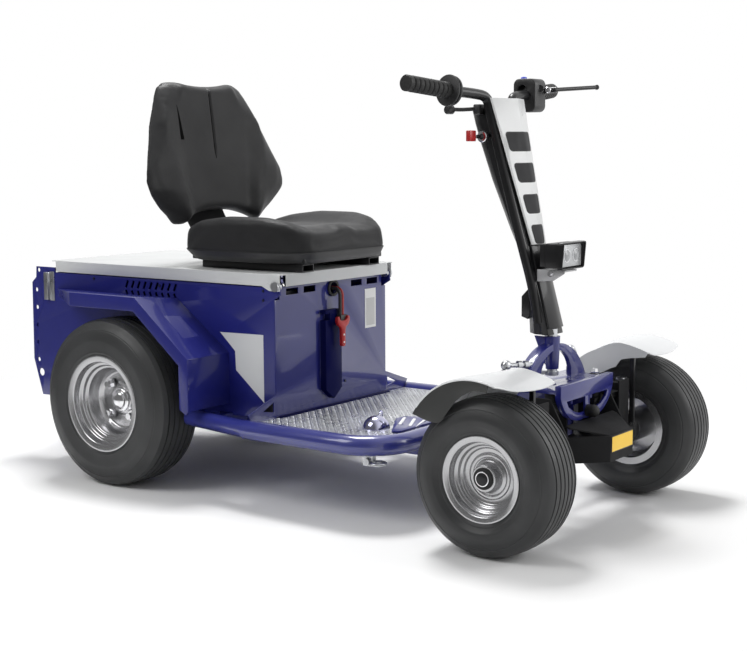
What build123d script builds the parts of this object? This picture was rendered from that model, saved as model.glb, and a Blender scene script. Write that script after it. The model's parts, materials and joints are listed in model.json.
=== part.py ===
from build123d import *
import os
from math import atan2, cos, degrees, hypot, radians, sin

# Small electric ride-on baggage tug: a battery box with a seat on its hinged lid
# at the rear, a low footboard inside a bent frame tube, and a steered front axle
# under an upright handlebar column. Millimetres. +X forward, +Y the vehicle's
# left, +Z up, floor at z = 0, origin under the middle of the length and width.

# ---------------------------------------------------------------- wheels
wheelbase = 1051.0
front_tyre_d = 320.0
front_tyre_w = 133.0
front_rim_d = 174.0
front_bead_d = 152.0
front_rim_w = 113.0
front_track = 637.0
rear_tyre_d = 402.0
rear_tyre_w = 145.0
rear_rim_d = 232.0
rear_bead_d = 203.0
rear_rim_w = 136.0
rear_track = 624.0
hitch_overhang = 475.0  # rear axle to the tip of the tow jaw

overall_length = front_tyre_d / 2 + wheelbase + hitch_overhang
front_x = overall_length / 2 - front_tyre_d / 2  # front axle line
rear_x = front_x - wheelbase  # rear axle line
front_axle_z = front_tyre_d / 2
rear_axle_z = rear_tyre_d / 2

# ---------------------------------------------------------------- fits
tyre_fit = 0.3  # tyre bead to rim, and plates laid beside a round tube
hub_fit = 0.5  # hub bore round its stub, on the radius
seat_fit = 0.1  # flat faces laid together
bore_fit = 0.2  # a bored piece round its bar, on the diameter
run_gap = 1.0  # end play of a piece that turns between lugs

# ---------------------------------------------------------------- frame and deck
tube_d = 44.0
hoop_half_w = 315.0
hoop_z = 174.0
hoop_rear_y = 300.0
hoop_rear_z = 180.0
hoop_front_x = front_x - 279.0
hoop_bend_r = 103.0
sleeve_x = front_x - 654.0  # the tube is thinner behind this line
sleeve_d = 40.0
deck_top_z = 185.0
deck_sheet = 3.0
under_deck_z = deck_top_z - deck_sheet
pedal_slot_turn = 117.0  # the pedal's slots from straight ahead
cross_h = 24.0
cross_w = 40.0
rail_frame_y = 120.0
rail_frame_w = 40.0
rail_frame_h = 30.0
rail_top_z = under_deck_z - cross_h

# ---------------------------------------------------------------- tow jaw and cheeks
tow_z = 321.0
tow_pin_d = 16.0
jaw_gap = 38.0
jaw_t = 12.0
jaw_r = 20.0
ring_room = 28.0  # from the drop pin's wall to the plate behind it
tow_plate_t = 16.0
tow_plate_z = (270.0, 372.0)
tow_pin_x = rear_x - hitch_overhang + jaw_r
tow_plate_rear_x = tow_pin_x + tow_pin_d / 2 + ring_room
cheek_x = tow_plate_rear_x + tow_plate_t / 2  # line of the cheek holes
cheek_hole_d = 11.0
cheek_hole_low_z = 252.0
cheek_hole_pitch = 46.0
cheek_hole_count = 5
cheek_border = 19.0
cheek_depth = 68.0  # from the hole line to the rear wall

# ---------------------------------------------------------------- rear wheel arches
arch_half_w = 355.0
tyre_room = 55.0
arch_run = 164.0  # the slope of the arch, along and down
arch_drop = 132.0
arch_foot_z = 200.0
arch_band = 33.0
arch_top_z = rear_axle_z + rear_tyre_d / 2 + tyre_room
arch_front_x = rear_x + rear_tyre_d / 2 + tyre_room + 3.0
arch_fold_x = arch_front_x - arch_run
arch_corner_z = arch_top_z - arch_drop
arch_rear_x = cheek_x + 85.0
arch_band_rear_x = arch_rear_x + 199.0
hoop_rear_x = arch_front_x - 46.0

# ---------------------------------------------------------------- battery box
sheet = 3.0
body_half_w = 214.0  # outer faces of the side panels
inner_half_w = body_half_w - sheet - seat_fit  # what fits between them
body_front_x = rear_x + 402.0  # outer face of the front panel
body_rear_x = cheek_x + cheek_depth  # outer face of the rear wall
rail_rear_x = body_rear_x + 18.0
panel_top_z = arch_top_z + 27.0
cheek_top_z = panel_top_z + 13.0
body_front_bottom_z = 180.0
body_rear_bottom_z = 160.0
axle_hole_d = 96.0
slot_count = 9
slot_pitch = 20.5
slot_w = 7.0
slot_h = 20.0
slot_lean = 25.0
slot_start_x = rear_x - 75.0
slot_rows = (panel_top_z - 16.0, panel_top_z - 40.0)
ear_z = panel_top_z - 28.0  # the front panel is narrower above this, clear of the pivot ears
ear_room = 14.0
panel_slot_w = 44.0
panel_slot_h = 15.0
panel_slot_z = panel_top_z - 12.0
panel_slot_y = (-152.0, -88.0, 94.0, 158.0)
grommet_z = panel_top_z - 17.0
grommet_d = 28.0
bay_rear_x = rear_x + 110.0
battery_half_w = 190.0
battery_room = 12.0
raised_floor_z = rear_axle_z + 99.0
battery_h = 245.0
pillar_y = (-51.0, 10.0)
pillar_top_z = panel_top_z - 66.0
pillar_depth = 18.0
lead_d = 8.0
lead_gap = 8.6

# ---------------------------------------------------------------- lid and seat
lid_front = 20.0  # lid front edge ahead of the front panel
lid_rear_x = body_rear_x - 1.0
lid_top_z = panel_top_z + 31.0
lid_skirt = 28.0
lid_half_w = 217.0
lid_sheet = 2.0
lid_corner = 20.0  # open corner beside each pivot ear
pivot_x = body_front_x + 5.0
pivot_z = panel_top_z + 3.0
pivot_d = 10.0
seat_rail_w = 42.0
seat_rail_h = 19.0
seat_rail_wall = 3.0
seat_rail_y = 128.0
seat_front_x = body_front_x + 57.0
seat_rail_x = (seat_front_x - 339.0, seat_front_x - 28.0)
seat_depth = 395.0
seat_half_w = 205.0
pan_h = 14.0
pan_top_z = lid_top_z + seat_rail_h + pan_h
cushion_h = 97.0
cushion_top_z = pan_top_z + cushion_h
dish_depth = 18.0
seat_dish_half = 150.0
back_x = seat_front_x - 413.0  # front face of the backrest at its foot
back_bottom_z = cushion_top_z - 37.0
back_h = 354.0
back_lean = 7.0
back_thick = 62.0
wing_depth = 22.0

# ---------------------------------------------------------------- rear axle
axle_tube_d = 60.0
rear_flange_y = 236.0  # end of the axle tube
rear_stub_d = 30.0
stud_count = 4
stud_circle_r = 50.0
rear_disc_y = -8.0  # rim disc from the middle of the wheel
nut_r = 10.0
nut_h = 16.0

# ---------------------------------------------------------------- head
steer_x = front_x - 52.0  # upright steering axis
head_base_z = 300.0
base_t = 8.0
base_half_w = 118.0
ear_y = 140.0  # link bolts on the base plate's ears
arch_z = 230.0  # centre height of the head arch
arch_out_r = 150.0
arch_in_r = 68.0
arch_mouth_z = 306.0
arch_mouth_h = 60.0
arch_t = 10.0
arch_flange = 26.0
head_tube_d = 34.0
head_tube_low_z = 325.0
head_tube_top_z = 396.0
shaft_d = 22.0
shaft_fit = 0.5
face_x = front_x + 34.5  # front face of the D shaped plate
face_top_z = 309.0
face_low_z = 228.0
face_half_w = 117.0
face_t = 5.0
face_depth = 14.0
mount_y = 94.0
mount_d = 31.0
neck_y = 44.0

# ---------------------------------------------------------------- front axle
king_half = 228.0
king_d = 18.0
king_fit = 0.2
king_lug_r = 17.0
king_lug_t = 12.0
king_low_z = 118.0
king_high_z = 262.0
knuckle_r = 16.0
beam_half = 20.0
shelf_top_z = 257.0
stub_d = 25.0
stub_end = 369.0
arm_len = 80.0
arm_z = 136.0
tie_d = 14.0
tie_pin_d = 10.0
front_disc_y = 14.0
bumper_x = front_x + 116.0
bumper_z = (150.0, 205.0)

# ---------------------------------------------------------------- mudguards
guard_x = front_x - 12.0  # centre of the guard's arc
guard_z = 203.0
guard_r = 157.0
guard_inner = 218.0
guard_outer = front_track / 2 + front_tyre_w / 2 + 8.0
guard_sheet = 3.0
guard_start = 54.0
guard_end = 163.0
skirt_rear = 58.0  # depth of the outer skirt at its rear and front ends
skirt_front = 30.0
lip = 22.0

# ---------------------------------------------------------------- steering column
foot_z = 400.0
knee_z = 491.0
cover_low_z = 592.0
head_z = 884.0
cover_top_z = 902.0
column_rear = ((foot_z, -107.0), (knee_z, -120.0), (head_z, -262.0))  # (z, x from the front axle)
column_front = ((foot_z, -38.0), (cover_low_z, -90.0), (cover_top_z, -171.0))
fork_line = ((foot_z, -87.0), (knee_z, -99.0), (head_z, -224.0))
fork_y = ((foot_z, 35.0), (knee_z, 37.0), (head_z, 62.0))
cover_half = ((cover_low_z, 28.0), (cover_top_z, 66.7))
cover_t = 5.0
ridge = ((cover_low_z, 5.0), (cover_top_z, 22.0))  # how far the cover's middle stands forward
bar_d = 22.0
bar_x = front_x - 227.0
bar_corner_z = 917.0
grip_z = 931.0
grip_half = 299.0
grip_len = 119.0
grip_d = 34.0
guard_disc_d = 76.0
control_w = 48.0
lamp_x = (front_x - 60.0, front_x - 5.0)
lamp_z = (542.0, 600.0)
lamp_half_w = 50.0




def save(node, shape):
    """Writes one node as parts/NODE.step."""
    shape.label = node
    export_step(shape, f"parts/{node}.step")


def mirrored(shape):
    """The same piece on the vehicle's left (+Y) side."""
    return mirror(shape, Plane.XZ)


def both_sides(shape):
    """A right-hand piece with its mirror image, as two solids of one node."""
    return Compound(children=[*shape.solids(), *mirrored(shape).solids()])


def plate_xz(points, y_low, y_high):
    """A flat plate standing along the vehicle, outlined in (x, z)."""
    outline = Plane.XZ * make_face(Polyline(*points, close=True))
    return Pos(0, y_low, 0) * extrude(outline, amount=y_high - y_low, dir=(0, 1, 0))


def plate_yz(points, x_low, x_high):
    """A flat plate standing across the vehicle, outlined in (y, z)."""
    outline = Plane.YZ * make_face(Polyline(*points, close=True))
    return Pos(x_low, 0, 0) * extrude(outline, amount=x_high - x_low, dir=(1, 0, 0))


def plate_xy(points, z_low, z_high):
    """A flat plate lying level, outlined in (x, y)."""
    outline = make_face(Polyline(*points, close=True))
    return Pos(0, 0, z_low) * extrude(outline, amount=z_high - z_low, dir=(0, 0, 1))


def block(x, y, z):
    """A box from three (low, high) pairs."""
    centre = Pos((x[0] + x[1]) / 2, (y[0] + y[1]) / 2, (z[0] + z[1]) / 2)
    return centre * Box(x[1] - x[0], y[1] - y[0], z[1] - z[0])


def pillar(x, y, z, diameter):
    """An upright round bar, z being a (low, high) pair."""
    return Pos(x, y, (z[0] + z[1]) / 2) * Cylinder(diameter / 2, z[1] - z[0])


def rod(start, end, diameter):
    """A round bar between two points."""
    path = Line(start, end)
    return sweep(Plane(path @ 0, z_dir=path % 0) * Circle(diameter / 2), path)


def bent_rod(points, radius, diameter):
    """A round bar through corners that are all rounded by one radius."""
    path = FilletPolyline(*points, radius=radius)
    return sweep(Plane(path @ 0, z_dir=path % 0) * Circle(diameter / 2), path)


def across(x, z, y_low, y_high, diameter):
    """A round bar across the vehicle at (x, z)."""
    return rod((x, y_low, z), (x, y_high, z), diameter)


def turned(points, arcs=()):
    """A solid of revolution about Y from (radius, y) corners; arcs names corners passed in a curve."""
    edges = []
    index = 0
    count = len(points)
    while index < count:
        start = points[index]
        middle = points[(index + 1) % count]
        if (index + 1) in arcs:
            edges.append(ThreePointArc(start, middle, points[(index + 2) % count]))
            index += 2
        else:
            edges.append(Line(start, middle))
            index += 1
    return revolve(make_face(edges), axis=Axis.Y)


def line_at(height, table):
    """Reads a broken line given as (height, value) corners, going on past its ends."""
    index = 0
    while index < len(table) - 2 and height > table[index + 1][0]:
        index += 1
    low, high = table[index], table[index + 1]
    return low[1] + (high[1] - low[1]) * (height - low[0]) / (high[0] - low[0])


# ================================================================ wheels
def tyre(diameter, width, rim_d, bead_d, rim_w):
    """A tyre ring, axle along Y, middle at the origin."""
    r_tread = diameter / 2
    r_bead = bead_d / 2 + tyre_fit
    r_flange = rim_d / 2 + 1.5
    half_bead = rim_w / 2 - 5
    half = width / 2
    shoulder_r = r_tread * 0.92
    shoulder_y = half - 12
    points = [
        (r_bead, -half_bead),
        (r_flange, -half_bead),
        ((r_flange + shoulder_r) / 2, -half),
        (shoulder_r, -shoulder_y),
        (r_tread - 3.5, -shoulder_y + 9),
        (r_tread, 0),
        (r_tread - 3.5, shoulder_y - 9),
        (shoulder_r, shoulder_y),
        ((r_flange + shoulder_r) / 2, half),
        (r_flange, half_bead),
        (r_bead, half_bead),
    ]
    return turned(points, arcs=(2, 5, 8))


def rim(rim_d, bead_d, rim_w, disc_y, hub_r, hub_in, hub_out, bore_d, closed):
    """A pressed rim with its disc and hub, outboard side towards +Y."""
    rf = rim_d / 2
    rb = bead_d / 2
    half = rim_w / 2
    wall = 4.0
    drop = 12.0
    bore = bore_d / 2
    outer = [
        (rf, half),
        (rf, half - wall),
        (rb, half - wall),
        (rb, half - 20),
        (rb - drop, half - 30),
        (rb - drop, -half + 30),
        (rb, -half + 20),
        (rb, -half + wall),
        (rf, -half + wall),
        (rf, -half),
        (rb - wall, -half),
        (rb - wall, -half + 21),
        (rb - drop - wall, -half + 31),
        (rb - drop - wall, disc_y - 3),
        (hub_r, disc_y - 3),
        (hub_r, hub_in),
        (bore, hub_in),
    ]
    nose = [(bore, hub_out - 6), (0, hub_out - 6), (0, hub_out)] if closed else [(bore, hub_out)]
    inner = [
        (hub_r * 0.72, hub_out),
        (hub_r * 0.72, disc_y + 10),
        (hub_r, disc_y + 3),
        (rb - drop - wall, disc_y + 3),
        (rb - drop - wall, half - 31),
        (rb - wall, half - 21),
        (rb - wall, half),
    ]
    return turned(outer + nose + inner)


def front_rim():
    """Front rim round the stub axle."""
    middle = front_track / 2
    return rim(
        front_rim_d,
        front_bead_d,
        front_rim_w,
        disc_y=front_disc_y,
        hub_r=37,
        hub_in=king_half + knuckle_r + 6 - middle,
        hub_out=front_rim_w / 2 - 14,
        bore_d=stub_d + 2 * hub_fit,
        closed=False,
    )


def rear_rim():
    """Rear rim with its studs and nuts round the hub cap."""
    middle = rear_track / 2
    body = rim(
        rear_rim_d,
        rear_bead_d,
        rear_rim_w,
        disc_y=rear_disc_y,
        hub_r=40,
        hub_in=rear_flange_y + 3 - middle,
        hub_out=8,
        bore_d=rear_stub_d + 2 * hub_fit,
        closed=True,
    )
    for index in range(stud_count):
        angle = 360 / stud_count * index + 45
        hexagon = extrude(RegularPolygon(nut_r, 6), nut_h / 2, both=True)
        nut = Rot(90, 0, 0) * Pos(0, 0, -(rear_disc_y + 3 + nut_h / 2)) * hexagon
        body += Rot(0, angle, 0) * Pos(stud_circle_r, 0, 0) * nut
    return body


# ================================================================ chassis
def hoop(grow=0.0):
    """The frame tube, thinner in its rear sleeves, grown by a gap on the diameter."""
    y = hoop_half_w
    points = [
        (sleeve_x, -y, hoop_z),
        (hoop_front_x, -y, hoop_z),
        (hoop_front_x, y, hoop_z),
        (sleeve_x, y, hoop_z),
    ]
    tube = bent_rod(points, hoop_bend_r, tube_d + grow)
    for side in (-1, 1):
        start = (hoop_rear_x, side * hoop_rear_y, hoop_rear_z)
        tube += rod(start, (sleeve_x + 12, side * y, hoop_z), sleeve_d + grow)
    return tube


def cross_members(gap=0.0):
    """The cross members under the deck, grown by a gap on every side."""
    members = []
    y_reach = hoop_rear_y - 4
    for x in (hoop_rear_x + 35, body_front_x - 25, body_front_x + 190):
        x_pair = (x - cross_w / 2 - gap, x + cross_w / 2 + gap)
        members.append(block(x_pair, (-y_reach, y_reach), (rail_top_z - gap, under_deck_z + gap)))
    return members


def deck_frame():
    """Frame tube, cross members and the two long rails that carry the rear axle."""
    frame = hoop()
    for member in cross_members():
        frame += member
    rail_low = rail_top_z - rail_frame_h
    rail_front = hoop_front_x + 6
    for side in (-1, 1):
        y = side * rail_frame_y
        y_pair = (y - rail_frame_w / 2, y + rail_frame_w / 2)
        frame += block((rail_rear_x, rail_front), y_pair, (rail_low, rail_top_z))
        saddle = block((rear_x - 30, rear_x + 30), y_pair, (rail_low, rear_axle_z))
        frame += saddle
        frame -= across(rear_x, rear_axle_z, *y_pair, axle_tube_d + 2 * bore_fit)
        frame += block((hoop_front_x - 30, rail_front), y_pair, (rail_top_z, hoop_z))
    tail = (rail_rear_x, rail_rear_x + cross_w)
    return frame + block(tail, (-rail_frame_y, rail_frame_y), (rail_low, rail_top_z))


def deck_plate():
    """Footboard plate lying between the frame tubes."""
    half = hoop_half_w - tube_d / 2 - tyre_fit
    front = hoop_front_x - tube_d / 2 - tyre_fit
    plate = block((body_front_x + tyre_fit, front), (-half, half), (under_deck_z, deck_top_z))
    corners = plate.edges().filter_by(Axis.Z).group_by(Axis.X)[-1]
    return fillet(corners, hoop_bend_r - tube_d / 2)


def side_outline():
    """Outline of a side panel in (x, z), from the top of the cheek forward."""
    lid_edge = body_rear_x + 6
    return [
        (cheek_x + 2, cheek_top_z),
        (lid_edge, cheek_top_z),
        (lid_edge, panel_top_z),
        (pivot_x - 30, panel_top_z),
        (pivot_x - 12, panel_top_z - 8),
        (pivot_x - 9, pivot_z + 6),
        (pivot_x, pivot_z + 10),
        (pivot_x + 8, pivot_z + 6),
        (pivot_x + 12, pivot_z - 18),
        (body_front_x - sheet, ear_z + 1),
        (body_front_x - sheet, deck_top_z + 53),
        (body_front_x - 64, body_front_bottom_z),
        (cheek_x + 11, body_rear_bottom_z),
        (cheek_x - cheek_border, cheek_hole_low_z + 2),
        (cheek_x - cheek_border + 3, ear_z - 1),
        (cheek_x, panel_top_z - 15),
    ]


def side_panel():
    """Right side panel with its rear cheek, two rows of vent slots and the axle opening."""
    low = -body_half_w
    high = -body_half_w + sheet
    cut = (low - 1, high + 1)
    panel = plate_xz(side_outline(), low, high)
    panel -= across(rear_x, rear_axle_z, *cut, axle_hole_d)
    for index in range(cheek_hole_count):
        panel -= across(cheek_x, cheek_hole_low_z + index * cheek_hole_pitch, *cut, cheek_hole_d)
    panel -= across(cheek_x + 11, cheek_top_z - 9, *cut, cheek_hole_d)
    panel -= across(cheek_x + 9, cheek_hole_low_z - 33, *cut, 20)
    for lean, z in zip((slot_lean, -slot_lean), slot_rows):
        for index in range(slot_count):
            slot = block((-slot_w / 2, slot_w / 2), cut, (-slot_h / 2, slot_h / 2))
            panel -= Pos(slot_start_x + index * slot_pitch, 0, z) * (Rot(0, lean, 0) * slot)
    panel -= across(pivot_x, pivot_z, *cut, pivot_d + 3 * bore_fit)
    for member in cross_members(tyre_fit):
        panel -= member
    return panel


def gusset(side):
    """Web from the front panel's foot out to the frame tube, with a triangular hole."""
    root = body_half_w - 1
    reach = hoop_half_w - 4
    top = deck_top_z + 53
    outer = [(root, top), (reach, deck_top_z + 20), (reach - 14, deck_top_z), (root, deck_top_z)]
    hole = [(root + 9, top - 15), (root + 47, top - 32), (root + 9, top - 39)]
    x = (body_front_x - sheet, body_front_x)
    web = plate_yz([(side * y, z) for y, z in outer], *x)
    return web - plate_yz([(side * y, z) for y, z in hole], x[0] - 1, x[1] + 1)


def pillar_outline():
    """Outline in (y, z) of the channel that carries the battery plug, notched at its top."""
    left, right = pillar_y
    top = pillar_top_z
    foot = deck_top_z + 43
    return [
        (left, foot),
        (left, top - 24),
        (left + 17, top - 24),
        (left + 17, top - 8),
        (left, top - 8),
        (left, top),
        (right - 4, top),
        (right - 4, top - 16),
        (right, top - 24),
        (right, foot),
        ((left + right) / 2, foot - 24),
    ]


def front_panel():
    """Front wall of the box with slots, cable hole, foot flange, plug channel and two gussets."""
    x = (body_front_x - sheet, body_front_x)
    half = body_half_w
    panel = block(x, (-half, half), (deck_top_z, ear_z))
    inner = half - sheet - ear_room
    panel += block(x, (-inner, inner), (ear_z, panel_top_z + 1))
    for y in panel_slot_y:
        y_pair = (y - panel_slot_w / 2, y + panel_slot_w / 2)
        z_pair = (panel_slot_z - panel_slot_h / 2, panel_slot_z + panel_slot_h / 2)
        panel -= block((x[0] - 1, x[1] + 1), y_pair, z_pair)
    bore = Rot(0, 90, 0) * Cylinder(grommet_d / 2, 3 * sheet)
    panel -= Pos(body_front_x - sheet / 2, 0, grommet_z) * bore
    panel += block((x[0], x[1] + 14), (-half, half), (deck_top_z, deck_top_z + sheet))
    panel += plate_yz(pillar_outline(), x[1], x[1] + pillar_depth)
    for side in (-1, 1):
        panel += gusset(side)
    return panel - hoop(2 * tyre_fit)


def battery_tray():
    """Rear wall and floor of the box: low under the batteries, raised over the rear axle."""
    half = inner_half_w
    front = body_front_x - sheet - seat_fit
    tray = block((body_rear_x, body_rear_x + sheet), (-half, half), (rail_top_z + 12, panel_top_z))
    tray += block((bay_rear_x, front), (-half, half), (under_deck_z, under_deck_z + sheet))
    tray += block((bay_rear_x, bay_rear_x + sheet), (-half, half), (under_deck_z, raised_floor_z))
    raised = (raised_floor_z - sheet, raised_floor_z)
    return tray + block((body_rear_x, bay_rear_x + sheet), (-half, half), raised)


def battery_block():
    """The batteries as one plain block in their bay."""
    x = (bay_rear_x + sheet + battery_room, body_front_x - sheet - battery_room)
    floor = under_deck_z + sheet
    return block(x, (-battery_half_w, battery_half_w), (floor, floor + battery_h))


def rear_axle():
    """Rear axle: central gearbox and motor, axle tubes and the two hub stubs."""
    axle = across(rear_x, rear_axle_z, -rear_flange_y, rear_flange_y, axle_tube_d)
    stub = rear_track / 2 - 6
    axle += across(rear_x, rear_axle_z, -stub, stub, rear_stub_d)
    axle += block((rear_x - 75, rear_x + 75), (-70, 70), (rear_axle_z - 32, rear_axle_z + 60))
    motor = Rot(0, 90, 0) * Cylinder(46, 150)
    return axle + Pos(rear_x - 130, 0, rear_axle_z + 12) * motor


def wheel_arch():
    """Right wheel arch: folded plate, edge band and the tapered rear facet."""
    inner = -body_half_w - seat_fit
    outer = -arch_half_w
    t = sheet
    slope_t = t * hypot(arch_run, arch_drop) / arch_run
    top = [
        (arch_rear_x, arch_top_z),
        (arch_fold_x, arch_top_z),
        (arch_front_x, arch_corner_z),
        (arch_front_x, arch_foot_z + 4),
        (arch_front_x - t, arch_foot_z + 4),
        (arch_front_x - t, arch_corner_z - slope_t / 2),
        (arch_fold_x - t / 2, arch_top_z - t),
        (arch_rear_x, arch_top_z - t),
    ]
    arch = plate_xz(top, outer, inner)
    wedge = [(arch_rear_x - 5, inner), (arch_band_rear_x, outer), (arch_rear_x - 5, outer - 5)]
    arch -= plate_xy(wedge, arch_top_z - 60, arch_top_z + 5)
    band = [
        (arch_band_rear_x, arch_top_z),
        (arch_fold_x, arch_top_z),
        (arch_front_x, arch_corner_z),
        (arch_front_x, arch_foot_z + 4),
        (arch_front_x - 8, arch_foot_z - 4),
        (arch_front_x - 28, arch_foot_z + 8),
        (arch_front_x - 28, arch_corner_z - 16),
        (arch_fold_x - 6, arch_top_z - arch_band),
        (arch_band_rear_x, arch_top_z - arch_band),
    ]
    arch += plate_xz(band, outer, outer + t)
    facet = [
        (arch_rear_x, inner),
        (arch_band_rear_x, outer),
        (arch_band_rear_x, outer + t),
        (arch_rear_x + 5, inner),
    ]
    return arch + plate_xy(facet, arch_top_z - arch_band, arch_top_z)


def tow_hitch():
    """Cross plate between the cheeks with the two jaws that hold the drop pin."""
    plate_x = (tow_plate_rear_x, tow_plate_rear_x + tow_plate_t)
    cross = block(plate_x, (-inner_half_w, inner_half_w), tow_plate_z)
    root = jaw_r + 12
    outline = [
        (tow_pin_x, -jaw_r),
        (tow_plate_rear_x + 1, -root),
        (tow_plate_rear_x + 1, root),
        (tow_pin_x, jaw_r),
    ]
    for side in (-1, 1):
        z = sorted((tow_z + side * jaw_gap / 2, tow_z + side * (jaw_gap / 2 + jaw_t)))
        cross += plate_xy(outline, *z)
        cross += pillar(tow_pin_x, 0, z, 2 * jaw_r)
    reach = jaw_gap + 2 * jaw_t
    return cross - pillar(tow_pin_x, 0, (tow_z - reach, tow_z + reach), tow_pin_d + 1)


def tow_pin():
    """Drop pin of the tow jaw with its pull ring."""
    top = tow_z + jaw_gap / 2 + jaw_t
    low = tow_z - jaw_gap / 2 - jaw_t - 14
    pin = pillar(tow_pin_x, 0, (low, top + 4), tow_pin_d)
    pin += pillar(tow_pin_x, 0, (top, top + 8), 28)
    return pin + Pos(tow_pin_x, 0, top + 25) * (Rot(90, 0, 0) * Torus(17, 3))


def latch():
    """Toggle latch on the right cheek."""
    outer = -body_half_w
    top = panel_top_z + 2
    plate = block((body_rear_x - 13, body_rear_x + 3), (outer - 3, outer), (top - 75, top))
    return plate + block((body_rear_x - 28, body_rear_x - 13), (outer - 10, outer), (top - 73, top - 2))


def battery_lead():
    """Two leads side by side from the cable hole down to the plug."""
    leads = []
    lead_x = body_front_x + pillar_depth + 7
    top = pillar_top_z - 14
    for y in (-lead_gap / 2, lead_gap / 2):
        points = [(body_front_x - 8, y, grommet_z), (lead_x, y, grommet_z), (lead_x, y, top)]
        leads.append(bent_rod(points, 17, lead_d))
    return Compound(children=[lead.solid() for lead in leads])


def battery_plug():
    """Plug on the channel's head with its two-pronged pull handle."""
    x = body_front_x + pillar_depth
    top = pillar_top_z - 14
    plug = block((x, x + 16), (-12, 24), (top - 26, top))
    grip_x = (x + 13, x + 22)
    handle_y = 30
    handle = block(grip_x, (handle_y - 6, handle_y + 6), (top - 74, top - 18))
    handle += block(grip_x, (handle_y - 23, handle_y + 23), (top - 24, top - 10))
    for side in (-1, 1):
        y_pair = sorted((handle_y + side * 12, handle_y + side * 23))
        handle += block(grip_x, y_pair, (top - 24, top - 2))
    for z in (top - 64, top - 50):
        handle -= Pos(x + 19, handle_y, z) * (Rot(0, 90, 0) * Cylinder(2.5, 20))
    return plug + handle


def pedals():
    """Slotted brake pedal plate over the deck's corner, and the domed foot switch with its rod."""
    front = hoop_front_x - tube_d / 2 - 5
    outline = [
        (front, -204),
        (front - 16, -218),
        (front - 92, -94),
        (front - 90, -62),
        (front - 72, -50),
        (front, -50),
    ]
    z = (deck_top_z + 4, deck_top_z + 8)
    plate = plate_xy(outline, *z)
    for offset in (-62, -35, -8):
        slot = Pos(front + offset, -112, deck_top_z + 6) * (Rot(0, 0, pedal_slot_turn) * Box(86, 8, 10))
        plate -= slot
    plate += block((front - 14, front - 2), (-190, -60), (deck_top_z, z[1]))
    x = front_x - 392
    y = -178.0
    dome = Pos(x, y, deck_top_z - 3) * Sphere(31)
    dome &= block((x - 40, x + 24), (y - 40, y + 40), (deck_top_z, deck_top_z + 40))
    link = rod((x - 4, y + 10, deck_top_z + 20), (x - 34, y + 66, deck_top_z + 22), 6)
    link += pillar(x - 34, y + 66, (deck_top_z, deck_top_z + 25), 8)
    return Compound(children=[plate.solid(), (dome + link).solid()])


def tie_ring():
    """Tie-down eye on a bolt under the frame tube on the right."""
    bow = hoop_bend_r * (1 - cos(radians(45)))
    x = hoop_front_x - bow
    y = bow - hoop_half_w
    low = hoop_z - tube_d / 2
    ring = Pos(x, y, low - 17) * Torus(15, 4.5)
    lug = block((x - 36, x - 10), (y - 6, y + 6), (low - 24, low + 5))
    bolt = across(x - 24, low - 14, y - 12, y + 10, 16)
    return (ring + lug + bolt) - hoop()


# ================================================================ lid and seat
def lid():
    """Box lid with skirts, open at the front corners round the pivot ears."""
    front = body_front_x + lid_front
    half = lid_half_w
    t = lid_sheet
    low = lid_top_z - lid_skirt
    skin = block((lid_rear_x, front), (-half, half), (lid_top_z - t, lid_top_z))
    skirt = [
        (lid_rear_x + 15, lid_top_z - t),
        (lid_rear_x + 15, low),
        (pivot_x - 42, low),
        (pivot_x - 20, pivot_z - 10),
        (pivot_x + 12, pivot_z - 10),
        (pivot_x + 12, lid_top_z - t),
    ]
    for side in (-1, 1):
        skin += plate_xz(skirt, *sorted((side * half, side * (half - t))))
    skin += block((front - t, front), (lid_corner - half, half - lid_corner), (low, lid_top_z))
    skin += block((lid_rear_x, lid_rear_x + t), (12 - half, half - 12), (low, lid_top_z))
    return skin - across(pivot_x, pivot_z, -half - 1, half + 1, pivot_d + 3 * bore_fit)


def lid_pivots():
    """Two pivot bolts through the front ears."""
    bolts = []
    nut_y = body_half_w - sheet - 6
    head_y = lid_half_w + seat_fit
    for side in (-1, 1):
        bolt = across(pivot_x, pivot_z, *sorted((side * nut_y, side * head_y)), pivot_d)
        bolt += across(pivot_x, pivot_z, *sorted((side * head_y, side * (head_y + 5))), 22)
        bolt += across(pivot_x, pivot_z, *sorted((side * nut_y, side * (nut_y + 5.5))), 18)
        bolts.append(bolt)
    return Compound(children=[bolt.solid() for bolt in bolts])


def seat_rails():
    """Two open box sections on the lid that carry the seat pan."""
    wall = seat_rail_wall
    top = lid_top_z + seat_rail_h
    y = (-seat_rail_y - seat_rail_w / 2, -seat_rail_y + seat_rail_w / 2)
    rail = block(seat_rail_x, y, (lid_top_z, top))
    inner_x = (seat_rail_x[0] - 1, seat_rail_x[1] + 1)
    rail -= block(inner_x, (y[0] + wall, y[1] - wall), (lid_top_z + wall, top - wall))
    return both_sides(rail)


def rounded_slab(x, y_half, z, radius):
    """A level slab with rounded corners in plan."""
    slab = block(x, (-y_half, y_half), z)
    return fillet(slab.edges().filter_by(Axis.Z), radius)


def back_placed(local):
    """Places a piece drawn round the backrest's foot at the backrest's lean."""
    return Pos(back_x, 0, back_bottom_z) * (Rot(0, -back_lean, 0) * local)


def seat_pan():
    """Steel pan under the cushion with the strut that holds the backrest."""
    z = (pan_top_z - pan_h, pan_top_z)
    x = (seat_front_x - seat_depth + 12, seat_front_x - 12)
    pan = rounded_slab(x, seat_half_w - 14, z, 50)
    pan += block((back_x - 76, x[0] + 30), (-60, 60), z)
    strut_x = (-back_thick - 10 - seat_fit, -back_thick - seat_fit)
    return pan + back_placed(block(strut_x, (-60, 60), (-62, 70)))


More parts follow.
